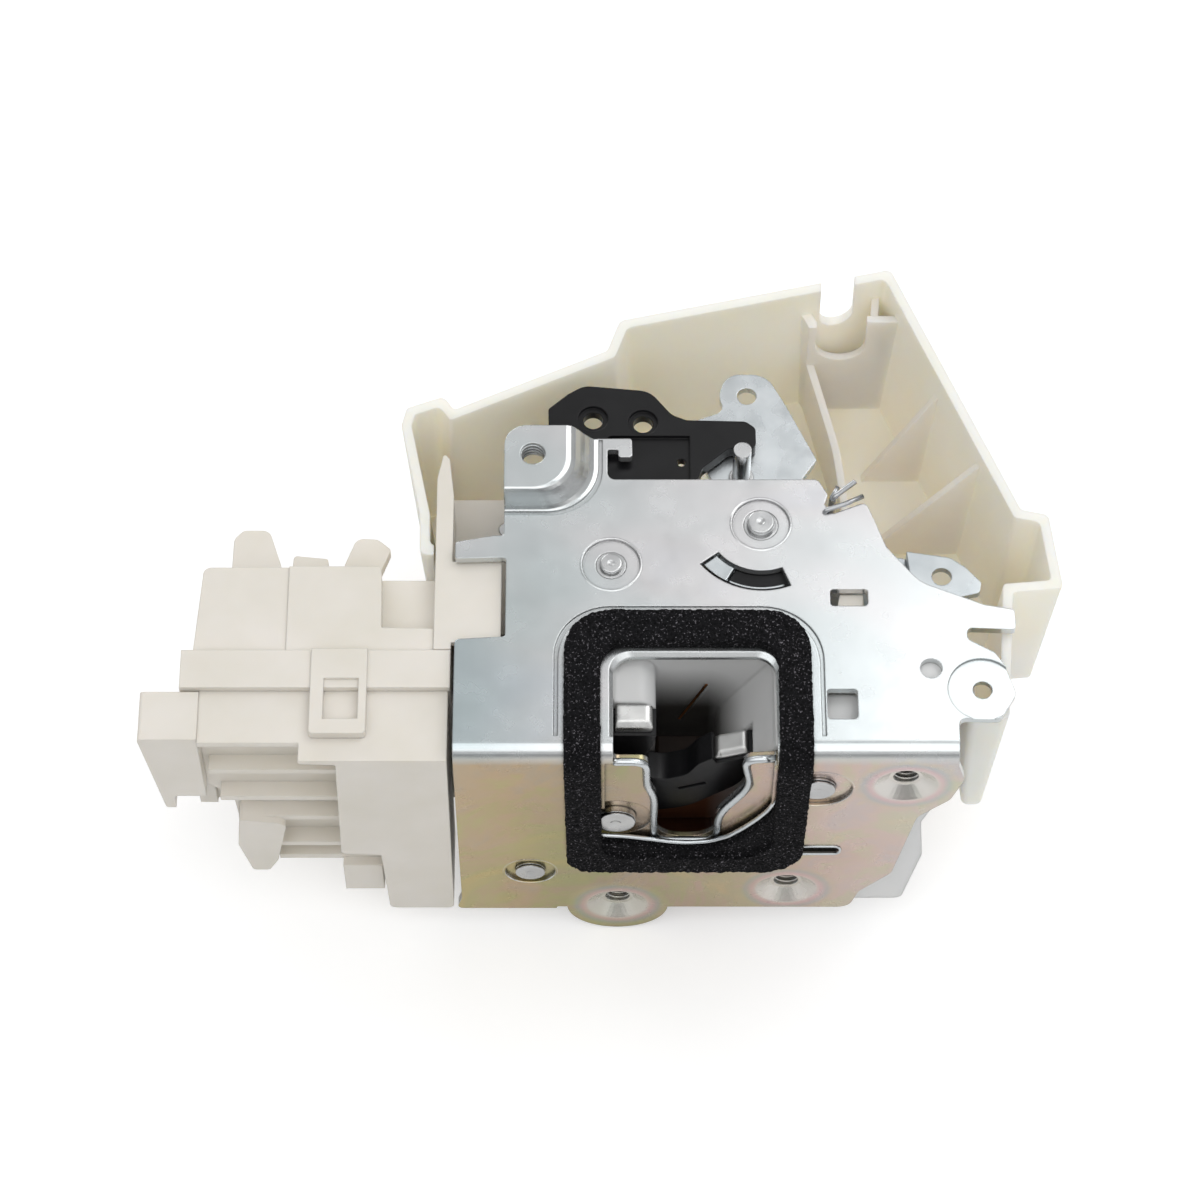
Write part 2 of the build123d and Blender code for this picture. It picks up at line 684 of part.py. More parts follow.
def make_latch_body():
    body = plate_xz(outline(BODY_OUTLINE), PLATE_T, BODY_BACK)
    body -= plate_xz(dish_face(DISH_MARGIN + 0.2), 0.0, PLATE_T + DISH_DEPTH + 0.1)
    body -= plate_xz(funnel_face(), 0.0, FUNNEL_BACK)
    body -= Pos(1.4, FUNNEL_BACK, -20.9) * Rot(0, -70, 0) * Box(15.6, 1.2, 0.5)

    # Chamber for the claw's sweep and the pawl's swing, open to the end plate
    sweep = disc(CLAW_PIVOT, CLAW_REACH + 1.6) & outline([
        (CLAW_PIVOT[0] - 12.0, -8.0),
        (CLAW_PIVOT[0] - 12.0, 4.2 - END_DEPTH),
        (30.0, 4.2 - END_DEPTH),
        (30.0, 0.0),
        (CLAW_PIVOT[0] - 2.0, 0.0),
        (CLAW_PIVOT[0] - 2.0, -8.0),
    ])
    swing = outline([
        (PAWL_PIVOT[0] - 9.5, -8.0, 2.0),
        (PAWL_PIVOT[0] - 5.0, -4.2, 1.0),
        (PAWL_PIVOT[0] + 6.5, -4.2, 1.0),
        (PAWL_PIVOT[0] + 9.5, -12.0, 2.0),
        (PAWL_PIVOT[0] + 7.0, -24.0, 3.0),
        (25.5, -45.0, 3.0),
        (20.0, -50.0, 3.0),
        (8.0, -47.0, 2.0),
    ])
    chamber = sweep + swing + disc(PAWL_PIVOT, PAWL_HUB_R + 1.4)
    body -= plate_xz(chamber, 0.0, CHAMBER_BACK)

    # Corner cut back to clear the plate's bend
    corner = make_face(Polyline((0.0, 0.0), (BEND_CLEAR, 0.0), (0.0, -BEND_CLEAR), close=True))
    body -= plate_yz(corner, PLATE_LEFT - 5, PLATE_RIGHT + 5)

    # Clearance round the collars and holes for the pins
    for xz in FIXINGS_XZ:
        body -= rod_y(xz, DIMPLE_R + 1.6, 0.0, PLATE_T + DIMPLE_DEPTH + GAP)
        body -= rod_y(xz, COLLAR_R + GAP, 0.0, FIXING_DEPTH + 10.0)
    body -= rod_y(CLAW_PIVOT, CLAW_PIN_R + FIT, 0.0, 40.0)
    body -= rod_y(PAWL_PIVOT, PAWL_PIN_R + FIT, 0.0, 40.0)
    body -= rod_y(RIVET_XZ, RIVET_R + FIT, 0.0, 40.0)

    # Channel under the inboard plate for the release lever's arm
    body -= block(PAWL_PIVOT[0] - 3.6, 45.0, 4.6, BODY_BACK + 1, -9.6, 0.0)

    # Cored pockets in the back, between ribs
    low = 5.2 - END_DEPTH
    above_rivet = RIVET_XZ[1] + RIVET_R + 5.8
    for x0, x1, z0, z1 in ((-41, -24, -20, -5), (-41, -24, above_rivet, -23), (30, 44, -44, -26),
                           (-12, 6, low, low + 10), (-41, -26, low, low + 7)):
        body -= block(x0, x1, 9.0, BODY_BACK + 1, z0, z1)
    body -= rod_y(CLAW_PIVOT, CLAW_SPRING_R + 1.4, 0.0, CLAW_SPRING_FAR)
    body -= rod_y(PAWL_PIVOT, PAWL_SPRING_R + 1.2, 0.0, PAWL_SPRING_FAR)
    return body


def make_bumper():
    """Rubber stop for the striker at the bottom of the funnel."""
    seat = outline([
        (-SLOT_HALF + 0.1, -SLOT_DEPTH + 4.0, 0.8),
        (-SLOT_HALF + 0.1, -SLOT_DEPTH + 0.3, 3.0),
        (SLOT_HALF - 0.1, -SLOT_DEPTH + 0.3, 3.0),
        (SLOT_HALF - 0.1, -SLOT_DEPTH + 4.0, 0.8),
    ])
    return plate_xz(seat & funnel_face(), CHAMBER_BACK + GAP, FUNNEL_BACK)


def make_back_plate():
    face = outline([
        (-40.0, -21.0, 4.0),
        (-40.0, 6.2 - END_DEPTH, 4.0),
        (34.0, 6.2 - END_DEPTH, 6.0),
        (40.0, -40.0, 6.0),
        (42.0, -22.0, 4.0),
        (34.0, -18.0, 3.0),
        (33.4, -10.4, 3.0),
        (17.4, -10.4, 3.0),
        (16.0, -21.0, 3.0),
    ])
    plate = plate_xz(face, BODY_BACK, BODY_BACK + BACK_PLATE_T)
    plate -= rod_y(CLAW_PIVOT, CLAW_PIN_R + FIT, 0.0, 40.0)
    plate -= rod_y(PAWL_PIVOT, PAWL_PIN_R + FIT, 0.0, 40.0)
    plate -= rod_y(RIVET_XZ, RIVET_R + FIT, 0.0, 40.0)
    plate -= plate_xz(Pos(4.0, -40.0) * SlotOverall(20.0, 7.0), 20.0, 40.0)
    return plate


def make_spring_y(xz, r, wire_r, far, turns):
    """Close coils of a torsion spring in its pocket, round a pin along Y."""
    spring = None
    for turn in range(turns):
        y = far - wire_r - turn * 1.96 * wire_r
        coil = Pos(xz[0], y, xz[1]) * Rot(90, 0, 0) * Torus(r, wire_r)
        spring = coil if spring is None else spring + coil
    return spring


# Levers on the back of the inboard plate

def make_pin_left():
    pin = rod_z(PIN_LEFT, PIN_LEFT_R, BASE_TOP, -RECESS)
    pin += rod_z(PIN_LEFT, PIN_LEFT_R - 0.9, -RECESS, -0.1)
    low = BLACK_LEVER_TOP - BLACK_LEVER_T - GAP
    return pin + rod_z(PIN_LEFT, PIN_LEFT_R + 1.6, BASE_TOP, low)


def make_pin_right():
    pin = rod_z(PIN_RIGHT, PIN_RIGHT_R, BASE_TOP, -RECESS)
    pin += rod_z(PIN_RIGHT, PIN_RIGHT_R - 0.8, -RECESS, 0.1)
    return pin


def make_lever_spacer():
    high = LEVER_TOP - LEVER_T - GAP
    low = RELEASE_TOP + GAP
    ring = rod_z(PIN_RIGHT, PIN_RIGHT_R + 2.4, low, high)
    return ring - rod_z(PIN_RIGHT, PIN_RIGHT_R + FIT, -20, 0)


def make_inside_lever():
    """Black moulded lever: hub on the left pin, two cable holes, a long nose."""
    x, y = PIN_LEFT
    face = outline([
        (x - 8.0, y, 0.0),
        (x - 8.4, y + 16.0, 6.0),
        (-27.5, 74.0, 4.0),
        (-27.6, 80.6, 1.0),
        (-23.6, 84.2, 2.0),
        (-20.4, 86.2, 4.0),
        (-7.0, 84.9, 5.0),
        (-2.6, 79.2, 4.0),
        (0.4, 77.9, 3.0),
        (12.4, 77.6, 2.0),
        (14.4, 76.0, 1.5),
        (14.4, 71.0, 1.5),
        (9.0, 71.3, 2.0),
        (3.5, 66.5, 1.5),
        (1.4, 61.0, 3.0),
        (x + 9.0, y + 8.0, 4.0),
        (x + 8.0, y, 0.0),
    ])
    high = BLACK_LEVER_TOP
    low = high - BLACK_LEVER_T
    lever = plate_xy(face + disc(PIN_LEFT, 8.0), low, high)
    step = outline([(-16.0, 60.0), (-16.0, 74.2, 1.5), (1.0, 74.2), (1.0, 60.0)])
    lever -= plate_xy(step, high - 1.0, high + 1.0)
    for hole in ((-18.5, 78.3), (-8.4, 77.4)):
        lever -= rod_z(hole, 3.0, high - 0.8, high + 1)
        lever -= rod_z(hole, 2.0, low - 1, high)
    lever -= rod_z((-0.7, 68.4), 0.9, low - 1, high)
    return lever - rod_z(PIN_LEFT, PIN_LEFT_R + FIT, -20, 0)


STUD_XY = (11.4, 66.4)


def make_release_lever():
    """Steel lever on the right pin: cable hole above, stud, and a long arm below."""
    x, y = PIN_RIGHT
    face = outline([
        (x - 7.0, y, 0.0),
        (x - 9.5, y + 14.0, 3.0),
        (1.0, 75.0, 2.0),
        (1.2, 79.6, 1.0),
        (8.4, 82.4, 3.0),
        (7.0, 86.0, 5.5),
        (9.0, 91.4, 5.0),
        (17.0, 91.2, 5.0),
        (20.4, 84.6, 4.0),
        (26.8, 70.6, 0.8),
        (23.8, 66.2, 1.0),
        (x + 7.6, y + 4.0, 3.0),
        (x + 7.2, y, 0.0),
        (31.6, 38.4, 5.0),
        (38.0, 24.0, 5.0),
        (41.0, 9.2, 1.5),
        (36.8, 8.6, 1.5),
        (33.8, 22.0, 5.0),
        (27.6, 34.6, 5.0),
        (23.0, 41.6, 3.0),
    ])
    low = RELEASE_TOP - LEVER_T
    lever = plate_xy(face + disc(PIN_RIGHT, 7.2), low, RELEASE_TOP)
    lever -= rod_z((12.9, 86.0), 2.0, -20, 0)
    lever -= rod_z(STUD_XY, 1.2 + FIT, -20, 0)
    return lever - rod_z(PIN_RIGHT, PIN_RIGHT_R + FIT, -20, 0)


def make_release_stud():
    stud = rod_z(STUD_XY, 1.2, RELEASE_TOP - LEVER_T - 0.6, RELEASE_TOP)
    stud += rod_z(STUD_XY, 2.4, RELEASE_TOP, RELEASE_TOP + 0.5)
    return stud + rod_z(STUD_XY, 1.8, RELEASE_TOP, 4.6)


def make_lock_lever():
    """Steel lever under the plate: a tab shows in the arc slot, a fork takes the link."""
    start = ARC_START + 2.0
    finish = start + TAB_WIDTH_DEG
    ring = disc(PIN_RIGHT, ARC_R_OUT - 0.7) - disc(PIN_RIGHT, ARC_R_IN + 0.7)
    wedge = make_face(Polyline(
        PIN_RIGHT, polar(PIN_RIGHT, 30, start), polar(PIN_RIGHT, 30, finish), close=True))
    arm = make_face(Polyline(
        polar(PIN_RIGHT, 6.4, start - 50),
        polar(PIN_RIGHT, ARC_R_OUT - 0.7, start),
        polar(PIN_RIGHT, ARC_R_OUT - 0.7, (start + finish) / 2),
        polar(PIN_RIGHT, ARC_R_OUT - 0.7, finish),
        polar(PIN_RIGHT, 6.4, finish + 60),
        close=True,
    ))
    # Fork arm, drawn pointing straight down and then turned to its rest place
    x, y = PIN_RIGHT
    tip = LOCK_ARM / cos(radians(LOCK_TRAVEL / 2)) + 3.2
    half = CRANK_PIN_R + LINK_SLACK
    fork = outline([
        (x - 6.0, y),
        (x - half - 2.2, y - tip, 1.0),
        (x + half + 2.2, y - tip, 1.0),
        (x + 6.0, y),
    ]) - Pos(x, y - tip) * Rectangle(2 * half, 2 * (tip - LOCK_ARM + 2.6))
    turn = Pos(x, y, 0) * Rot(0, 0, -LOCK_TRAVEL / 2) * Pos(-x, -y, 0)
    low = LEVER_TOP - LEVER_T
    lever = plate_xy(disc(PIN_RIGHT, 7.0) + arm, low, LEVER_TOP)
    lever += turn * plate_xy(fork, low, LEVER_TOP)
    lever += plate_xy(ring & wedge, low, -0.4)
    return lever - rod_z(PIN_RIGHT, PIN_RIGHT_R + FIT, -20, 0)


def crank_place():
    """Crank pin's centre at rest, on the far side of the wheel from the worm."""
    rise = (CRANK_R ** 2 - LINK_HALF_STROKE ** 2) ** 0.5
    return (WHEEL_X - LINK_HALF_STROKE, WHEEL_Y + rise)


def make_lock_link():
    """Sliding bar from the worm wheel's crank pin to the lock lever's fork."""
    low = LINK_TOP - LINK_T
    crank_x = crank_place()[0]
    pin_x = PIN_RIGHT[0] - LINK_HALF_STROKE
    half = CRANK_PIN_R + LINK_SLACK
    link = block(crank_x - half - 2.4, pin_x + 3.0,
                 LINK_Y - LINK_WIDTH / 2, LINK_Y + LINK_WIDTH / 2, low, LINK_TOP)
    fork_top = WHEEL_Y + CRANK_R + 0.6
    for side in (-1, 1):
        inner, outer = crank_x + side * half, crank_x + side * (half + 2.4)
        link += block(min(inner, outer), max(inner, outer), LINK_Y, fork_top, low, LINK_TOP)
    link -= block(crank_x - half, crank_x + half, crank_place()[1] - CRANK_PIN_R - 0.6,
                  fork_top + 1, low - 1, LINK_TOP + 1)
    return link + rod_z((pin_x, LINK_Y), CRANK_PIN_R, LINK_TOP, LEVER_TOP + 0.2)


def make_outside_lever():
    """Steel lever for the outer handle's rod, stepped up near its end."""
    x, y = PIN_SIDE
    low = OUTSIDE_TOP - LEVER_T
    step = 3.0
    root = outline([
        (x - 5.6, y),
        (x - 4.0, 46.0, 4.0),
        (37.6, 50.6, 3.0),
        (45.4, 49.2),
        (46.4, 39.8),
        (x + 5.6, y),
    ]) + disc(PIN_SIDE, 5.6)
    end = outline([
        (44.2, 49.4),
        (52.8, 48.0, 2.0),
        (56.0, 45.6, 1.5),
        (58.9, 42.2, 0.8),
        (58.4, 39.9, 0.8),
        (53.6, 38.7, 2.0),
        (45.2, 38.9),
    ])
    lever = plate_xy(root, low, OUTSIDE_TOP)
    lever += plate_xy(end, low + step, OUTSIDE_TOP + step)
    ramp = outline([(44.2, 49.4), (45.4, 49.2), (46.4, 39.8), (45.2, 38.9)])
    lever += plate_xy(ramp, low, OUTSIDE_TOP + step)
    lever -= rod_z((51.0, 43.6), 2.0, -20, 0)
    return lever - rod_z(PIN_SIDE, 3.0 + FIT, -20, 0)


def make_side_pin():
    pin = rod_z(PIN_SIDE, 3.0, BASE_TOP, OUTSIDE_TOP + GAP)
    pin += rod_z(PIN_SIDE, 4.6, BASE_TOP, OUTSIDE_TOP - LEVER_T - GAP)
    return pin + rod_z(PIN_SIDE, 4.2, OUTSIDE_TOP + GAP, OUTSIDE_TOP + GAP + 0.8)


BASE_LEFT = -49.8
SHELL_POSTS = [(-36.0, 59.0), (6.0, 59.0), (34.0, 40.0)]
SCREW_R = 1.6


def make_lever_base():
    """White moulded floor behind the levers, fixed between body and housing."""
    near = BODY_BACK + BACK_PLATE_T + 1.6
    face = outline([
        (BASE_LEFT, SKIRT_FAR + GAP),
        (BASE_LEFT, 66.0, 2.0),
        (26.0, 66.0, 6.0),
        (36.0, 46.0, 6.0),
        (46.0, 38.0, 4.0),
        (46.0, BODY_BACK),
        (44.6, BODY_BACK),
        (43.2, near, 1.0),
        (-41.0, near, 1.0),
        (-43.0, BODY_BACK),
        (PLATE_LEFT + 0.9, BODY_BACK),
        (PLATE_LEFT + 0.9, SKIRT_FAR + GAP),
    ])
    base = plate_xy(face, BASE_TOP - BASE_T, BASE_TOP)
    base += plate_xy(face - offset(face, -1.8), BASE_TOP - 7.0, BASE_TOP - BASE_T)
    # Upright wall at the left, with its pointed top, and the ledge beside it
    wall = outline([
        (BASE_LEFT, SKIRT_FAR + GAP),
        (BASE_LEFT, 64.0, 2.0),
        (-48.6, 70.0, 0.6),
        (-47.4, 68.6, 0.6),
        (-46.4, 60.0, 1.0),
        (-46.4, SKIRT_FAR + GAP),
    ])
    base += plate_xy(wall, BASE_TOP, LEVER_TOP)
    ledge = outline([
        (BASE_LEFT + 1, BODY_BACK + 0.2),
        (BASE_LEFT + 1, 44.6),
        (-36.6, 44.6, 0.6),
        (-36.6, BODY_BACK + 0.2, 0.6),
    ])
    base += plate_xy(ledge, LEVER_TOP - 1.4, LEVER_TOP)
    base += block(-44.4, -42.8, BODY_BACK + 0.2, 44.0, BASE_TOP, LEVER_TOP - 0.5)
    # Passage for the link, rails under it, and screw holes
    low, high = LINK_TOP - LINK_T, LINK_TOP
    base -= block(-55, -42, LINK_Y - LINK_WIDTH / 2 - 0.4, LINK_Y + LINK_WIDTH / 2 + 0.4,
                  low - 0.4, high + 0.4)
    for x0 in (-38.0, -4.0):
        base += block(x0, x0 + 5.0, LINK_Y - 1.5, LINK_Y + 1.5, BASE_TOP, low - GAP)
    for xy in SHELL_POSTS:
        base -= rod_z(xy, SCREW_R + FIT, BASE_TOP - BASE_T - 1, BASE_TOP + 1)
    return base


LEVER_SPRING_WIRE = 0.55
LEVER_SPRING_R = PIN_RIGHT_R + 1.5


def make_lever_spring():
    """Return spring round the right pin, one leg hooked up through the plate's slot."""
    wire = LEVER_SPRING_WIRE
    x, y = PIN_RIGHT
    spring = None
    for turn in range(3):
        z = BASE_TOP + wire + 0.1 + turn * 1.96 * wire
        coil = Pos(x, y, z) * Torus(LEVER_SPRING_R, wire)
        spring = coil if spring is None else spring + coil
    route = FilletPolyline(
        (x + LEVER_SPRING_R, y, z),
        (x + LEVER_SPRING_R, y + 4.2, z),
        (29.4, 56.6, z),
        (29.4, 56.9, 2.0),
        (33.8, 60.2, 2.6),
        radius=1.2,
    )
    start = Plane(origin=route @ 0, z_dir=route % 0)
    return spring + sweep(start * Circle(wire), path=route)


# Actuator housing at the left end

CASE_SCREW_R = 1.3
CASE_SCREWS_XZ = [(-88.0, -48.0), (-56.0, -48.0)]

CASE_FACE = [
    (CASE_LEFT + 1.6, CASE_TOP - 0.6),
    (CASE_LEFT + 1.6, -27.0, 1.5),
    (-90.6, -33.0, 1.0),
    (-89.4, -57.0, 1.5),
    (-83.0, -57.0, 1.0),
    (-82.6, -53.0, 0.6),
    (-70.0, -53.0, 0.6),
    (-69.8, -64.4, 1.2),
    (-61.6, -64.4, 0.6),
    (-61.0, -69.2, 1.5),
    (CASE_RIGHT - 1.0, -69.2, 1.5),
    (CASE_RIGHT - 0.4, CASE_TOP - 0.6),
]


def make_actuator_case():
    """Lower housing: stepped outline, ribbed front and a smooth right block."""
    recess_y = CASE_FRONT + 7.4
    case = plate_xz(outline(CASE_FACE), recess_y, SPLIT_Y)
    # Smooth block at the right, which stands forward of the ribbed part
    smooth = outline([
        (-75.6, CASE_TOP - 0.6),
        (-75.6, -5.0, 0.6),
        (-68.4, -5.4, 0.6),
        (-69.4, -44.0, 1.2),
        (-61.4, -44.6, 0.6),
        (-60.6, -69.2, 1.5),
        (CASE_RIGHT - 1.0, -69.2, 1.5),
        (CASE_RIGHT - 0.4, CASE_TOP - 0.6),
    ])
    case += plate_xz(smooth, CASE_FRONT, recess_y)
    # Horizontal ribs across the front of the left part
    ribs = ((-95.4, -75.6, -3.8), (-94.0, -68.6, -15.0), (-92.6, -68.8, -26.4),
            (-89.6, -69.0, -35.0), (-82.6, -69.2, -46.6), (-82.6, -61.8, -52.4))
    for x0, x1, z in ribs:
        case += block(x0, x1, CASE_FRONT + 4.0, recess_y, z - 1.6, z)
    case += block(-69.6, -61.6, CASE_FRONT + 2.0, recess_y, -64.2, -53.4)
    # Foot at the lower left
    foot = outline([
        (-89.4, -34.0, 1.0),
        (-90.4, -45.0, 2.0),
        (-88.2, -56.6, 1.0),
        (-84.8, -56.6, 1.0),
        (-82.8, -52.0, 1.0),
        (-80.0, -36.0, 2.0),
    ])
    case += plate_xz(foot, CASE_FRONT + 2.6, recess_y)
    # Room for the motor and the gears
    case -= block(CASE_LEFT + 4.0, CASE_RIGHT - 4.0, recess_y + WALL, SPLIT_Y + 1, -46.0, CASE_TOP - 2.6)
    # Cradle ribs under the motor and a bearing rib for the end of its shaft
    floor = recess_y + WALL
    for x0 in (MOTOR_NEAR + 5.0, MOTOR_FAR - 5.0):
        case += block(x0, x0 + 2.0, floor - 0.2, MOTOR_Y - MOTOR_FLAT, MOTOR_Z - 6, MOTOR_Z + 6)
    bearing = block(WORM_FAR + 1.0, WORM_FAR + 3.0, floor - 0.2, MOTOR_Y + 2.4,
                    MOTOR_Z - 2.6, MOTOR_Z + 2.6)
    case += bearing - rod_x((MOTOR_Y, MOTOR_Z), SHAFT_R + FIT, WORM_FAR, WORM_FAR + 6)
    for x, z in CASE_SCREWS_XZ:
        case -= rod_y((x, z), CASE_SCREW_R + FIT, recess_y + 2, SPLIT_Y + 1)
    return case


CONNECTOR_X = (-107.0, -96.4)
CONTACT = 0.4


def contact_places():
    """Centres of the ten contacts in the socket, in Y and Z."""
    return [(8.6 + 3.4 * row, -8.0 - 3.4 * column) for row in range(2) for column in range(5)]


def make_connector_shroud():
    """Socket at the left end, open to the left."""
    x0, x1 = CONNECTOR_X
    side = outline([
        (x0, CASE_TOP, 0.8),
        (x0 + 3.2, -32.0, 0.8),
        (x0 + 5.2, -32.0, 0.4),
        (x0 + 5.4, -27.0, 0.6),
        (x1 + 1.0, -27.0),
        (x1 + 1.0, CASE_TOP),
    ])
    shroud = plate_xz(side, 5.0, 15.6)
    shroud -= block(x0 - 1, x1 - 1.6, 6.4, 14.2, -25.4, CASE_TOP - 1.4)
    return shroud


def make_connector_pins():
    pins = None
    for y, z in contact_places():
        pin = block(CONNECTOR_X[0] + 3.4, CONNECTOR_X[1] - 1.6, y - CONTACT, y + CONTACT,
                    z - CONTACT, z + CONTACT)
        pins = pin if pins is None else pins + pin
    return pins


def make_actuator_cover():
    """Upper housing: a cap with a skirt that closes over the lower one."""
    x0 = CASE_LEFT - 0.6
    right = BASE_LEFT
    crown = outline([
        (x0 + 1.8, COVER_FAR, 1.5),
        (-60.6, COVER_FAR, 0.8),
        (-60.4, 41.2, 0.4),
        (-60.2, 30.0, 0.4),
        (right, 29.8, 0.4),
        (right, SPLIT_Y),
        (x0, SPLIT_Y),
    ])
    inside_far = COVER_FAR - WALL - 0.2
    cover = plate_xy(crown, COVER_FLOOR, CASE_TOP)
    cover += block(-61.6, right, 29.0, COVER_FAR - 1.0, COVER_FLOOR, RECESS_TOP)
    # Shallow step across the top of the crown
    cover -= block(CASE_LEFT - 2, -78.8, SKIRT_FAR, COVER_FAR + 1, CASE_TOP - 0.5, CASE_TOP + 1)
    # Skirt that laps over the lower housing, and the snap tongue below it
    cover += block(x0 - 1.6, CASE_RIGHT, SKIRT_NEAR, SKIRT_FAR, COVER_FLOOR - 1.2, CASE_TOP + 1.0)
    cover -= block(CASE_LEFT + 1.4, CASE_RIGHT + 1.0, SKIRT_NEAR - 1, SPLIT_Y + 0.1, -70, CASE_TOP - 0.4)
    tongue = outline([
        (-73.6, SKIRT_FAR),
        (-73.6, 5.6, 0.8),
        (-62.6, 5.6, 0.8),
        (-62.6, SKIRT_FAR),
    ]) - Pos(-67.6, 13.3) * Rectangle(6.8, 9.0)
    cover += plate_xy(tongue, CASE_TOP - 0.4, CASE_TOP + 1.6)
    # Room for the motor, the worm wheel and the switch
    cover -= block(CASE_LEFT + 3.4, -62.6, SPLIT_Y - 1, inside_far, -46.0, CASE_TOP - 2.2)
    cover -= block(-63.0, right - 2.2, SPLIT_Y - 1, inside_far - GAP, -46.0, RECESS_TOP - WALL)
    # Tabs on the far side, for clips on the door's wiring
    for corners in TAB_OUTLINES:
        cover += plate_xy(outline(corners), -14.0, -11.6)
    # Boss under the worm wheel, the link's way out and the screw holes
    cover += rod_z((WHEEL_X, WHEEL_Y), AXLE_R + 2.0, -46.5, MOTOR_Z - WHEEL_T / 2 - GAP)
    cover -= rod_z((WHEEL_X, WHEEL_Y), AXLE_R + FIT, MOTOR_Z - 10.0, MOTOR_Z)
    low, high = LINK_TOP - LINK_T, LINK_TOP
    cover -= block(right - 4, right + 4, LINK_Y - LINK_WIDTH / 2 - 0.4, LINK_Y + LINK_WIDTH / 2 + 0.4,
                   low - 0.4, high + 0.4)
    for x, z in CASE_SCREWS_XZ:
        cover -= rod_y((x, z), CASE_SCREW_R + FIT, SPLIT_Y - 1, COVER_FAR + 1)
    return cover


TAB_OUTLINES = [
    [(-91.2, 42.0), (-91.0, 55.2, 2.0), (-89.2, 57.3, 1.5), (-83.9, 57.3, 2.0), (-81.2, 49.0),
     (-80.6, 42.0)],
    [(-79.2, 42.0), (-78.8, 51.4, 0.8), (-71.8, 50.6, 0.6), (-71.4, 42.0)],
    [(-69.4, 42.0), (-68.4, 49.4), (-66.2, 55.4, 2.0), (-62.0, 55.2, 2.0), (-59.2, 52.8, 0.8),
     (-61.0, 48.0), (-61.6, 42.0)],
]


def make_case_screws():
    screws = None
    for xz in CASE_SCREWS_XZ:
        screw = rod_y(xz, CASE_SCREW_R, 11.0, COVER_FAR) + rod_y(xz, 2.4, COVER_FAR, COVER_FAR + 1.6)
        screw -= block(xz[0] - 1.6, xz[0] + 1.6, COVER_FAR + 0.9, COVER_FAR + 3, xz[1] - 0.3, xz[1] + 0.3)
        screws = screw if screws is None else screws + screw
    return screws


# Motor, worm and wheel

def flat_barrel(r, flat, near, far):
    """A motor's barrel along X, with flats above and below in Y."""
    box = block(near, far, MOTOR_Y - flat, MOTOR_Y + flat, MOTOR_Z - r, MOTOR_Z + r)
    return rod_x((MOTOR_Y, MOTOR_Z), r, near, far) & box


def make_motor_can():
    near = MOTOR_NEAR + MOTOR_CAP_T
    can = flat_barrel(MOTOR_R, MOTOR_FLAT, near, MOTOR_FAR)
    can -= flat_barrel(MOTOR_R - MOTOR_WALL, MOTOR_FLAT - MOTOR_WALL, near - 1, MOTOR_FAR - MOTOR_WALL)
    can += rod_x((MOTOR_Y, MOTOR_Z), 3.0, MOTOR_FAR, MOTOR_FAR + 1.4)
    return can - rod_x((MOTOR_Y, MOTOR_Z), SHAFT_R + FIT, MOTOR_FAR - 2, MOTOR_FAR + 2)


def make_motor_cap():
    cap = flat_barrel(MOTOR_R, MOTOR_FLAT, MOTOR_NEAR, MOTOR_NEAR + MOTOR_CAP_T)
    return cap - rod_x((MOTOR_Y, MOTOR_Z), SHAFT_R + FIT, MOTOR_NEAR + 0.8, MOTOR_FAR)


def make_motor_magnets():
    """Two curved magnets on the inside of the can."""
    r_out = MOTOR_R - MOTOR_WALL
    near, far = MOTOR_NEAR + MOTOR_CAP_T + 1.4, MOTOR_FAR - MOTOR_WALL - 1.0
    ring = rod_x((MOTOR_Y, MOTOR_Z), r_out, near, far)
    ring -= rod_x((MOTOR_Y, MOTOR_Z), ARMATURE_R + 0.5, near - 1, far + 1)
    gap = 3.4
    return ring - block(near - 1, far + 1, 0, 60, MOTOR_Z - gap, MOTOR_Z + gap) & \
        block(near, far, MOTOR_Y - MOTOR_FLAT + MOTOR_WALL, MOTOR_Y + MOTOR_FLAT - MOTOR_WALL, -60, 0)


def make_motor_rotor():
    """Shaft, slotted armature and commutator."""
    near, far = MOTOR_NEAR + MOTOR_CAP_T + 2.2, MOTOR_FAR - MOTOR_WALL - 2.0
    rotor = rod_x((MOTOR_Y, MOTOR_Z), ARMATURE_R, near + 3.0, far)
    for slot in range(3):
        turn = Pos(0, MOTOR_Y, MOTOR_Z) * Rot(120 * slot, 0, 0)
        rotor -= turn * Pos((near + far) / 2, 0, ARMATURE_R) * Box(30, 1.2, 5.0)
    rotor += rod_x((MOTOR_Y, MOTOR_Z), 2.4, near, near + 3.0)
    rotor += rod_x((MOTOR_Y, MOTOR_Z), SHAFT_R, MOTOR_NEAR + 1.0, WORM_FAR + 2.8)
    return rotor


def make_worm():
    """Worm on the motor's shaft, drawn as the ridges of its thread."""
    root = WORM_R - 1.0
    worm = rod_x((MOTOR_Y, MOTOR_Z), root, WORM_NEAR, WORM_FAR)
    turns = int((WORM_FAR - WORM_NEAR) / WORM_PITCH)
    for turn in range(turns):
        x = WORM_NEAR + (turn + 0.5) * WORM_PITCH
        for side in (-1, 1):
            cone = Cone(root, WORM_R, 0.8) if side < 0 else Cone(WORM_R, root, 0.8)
            worm += Pos(x + side * 0.4, MOTOR_Y, MOTOR_Z) * Rot(0, 90, 0) * cone
    return worm - rod_x((MOTOR_Y, MOTOR_Z), SHAFT_R + FIT / 2, WORM_NEAR - 1, WORM_FAR + 1)


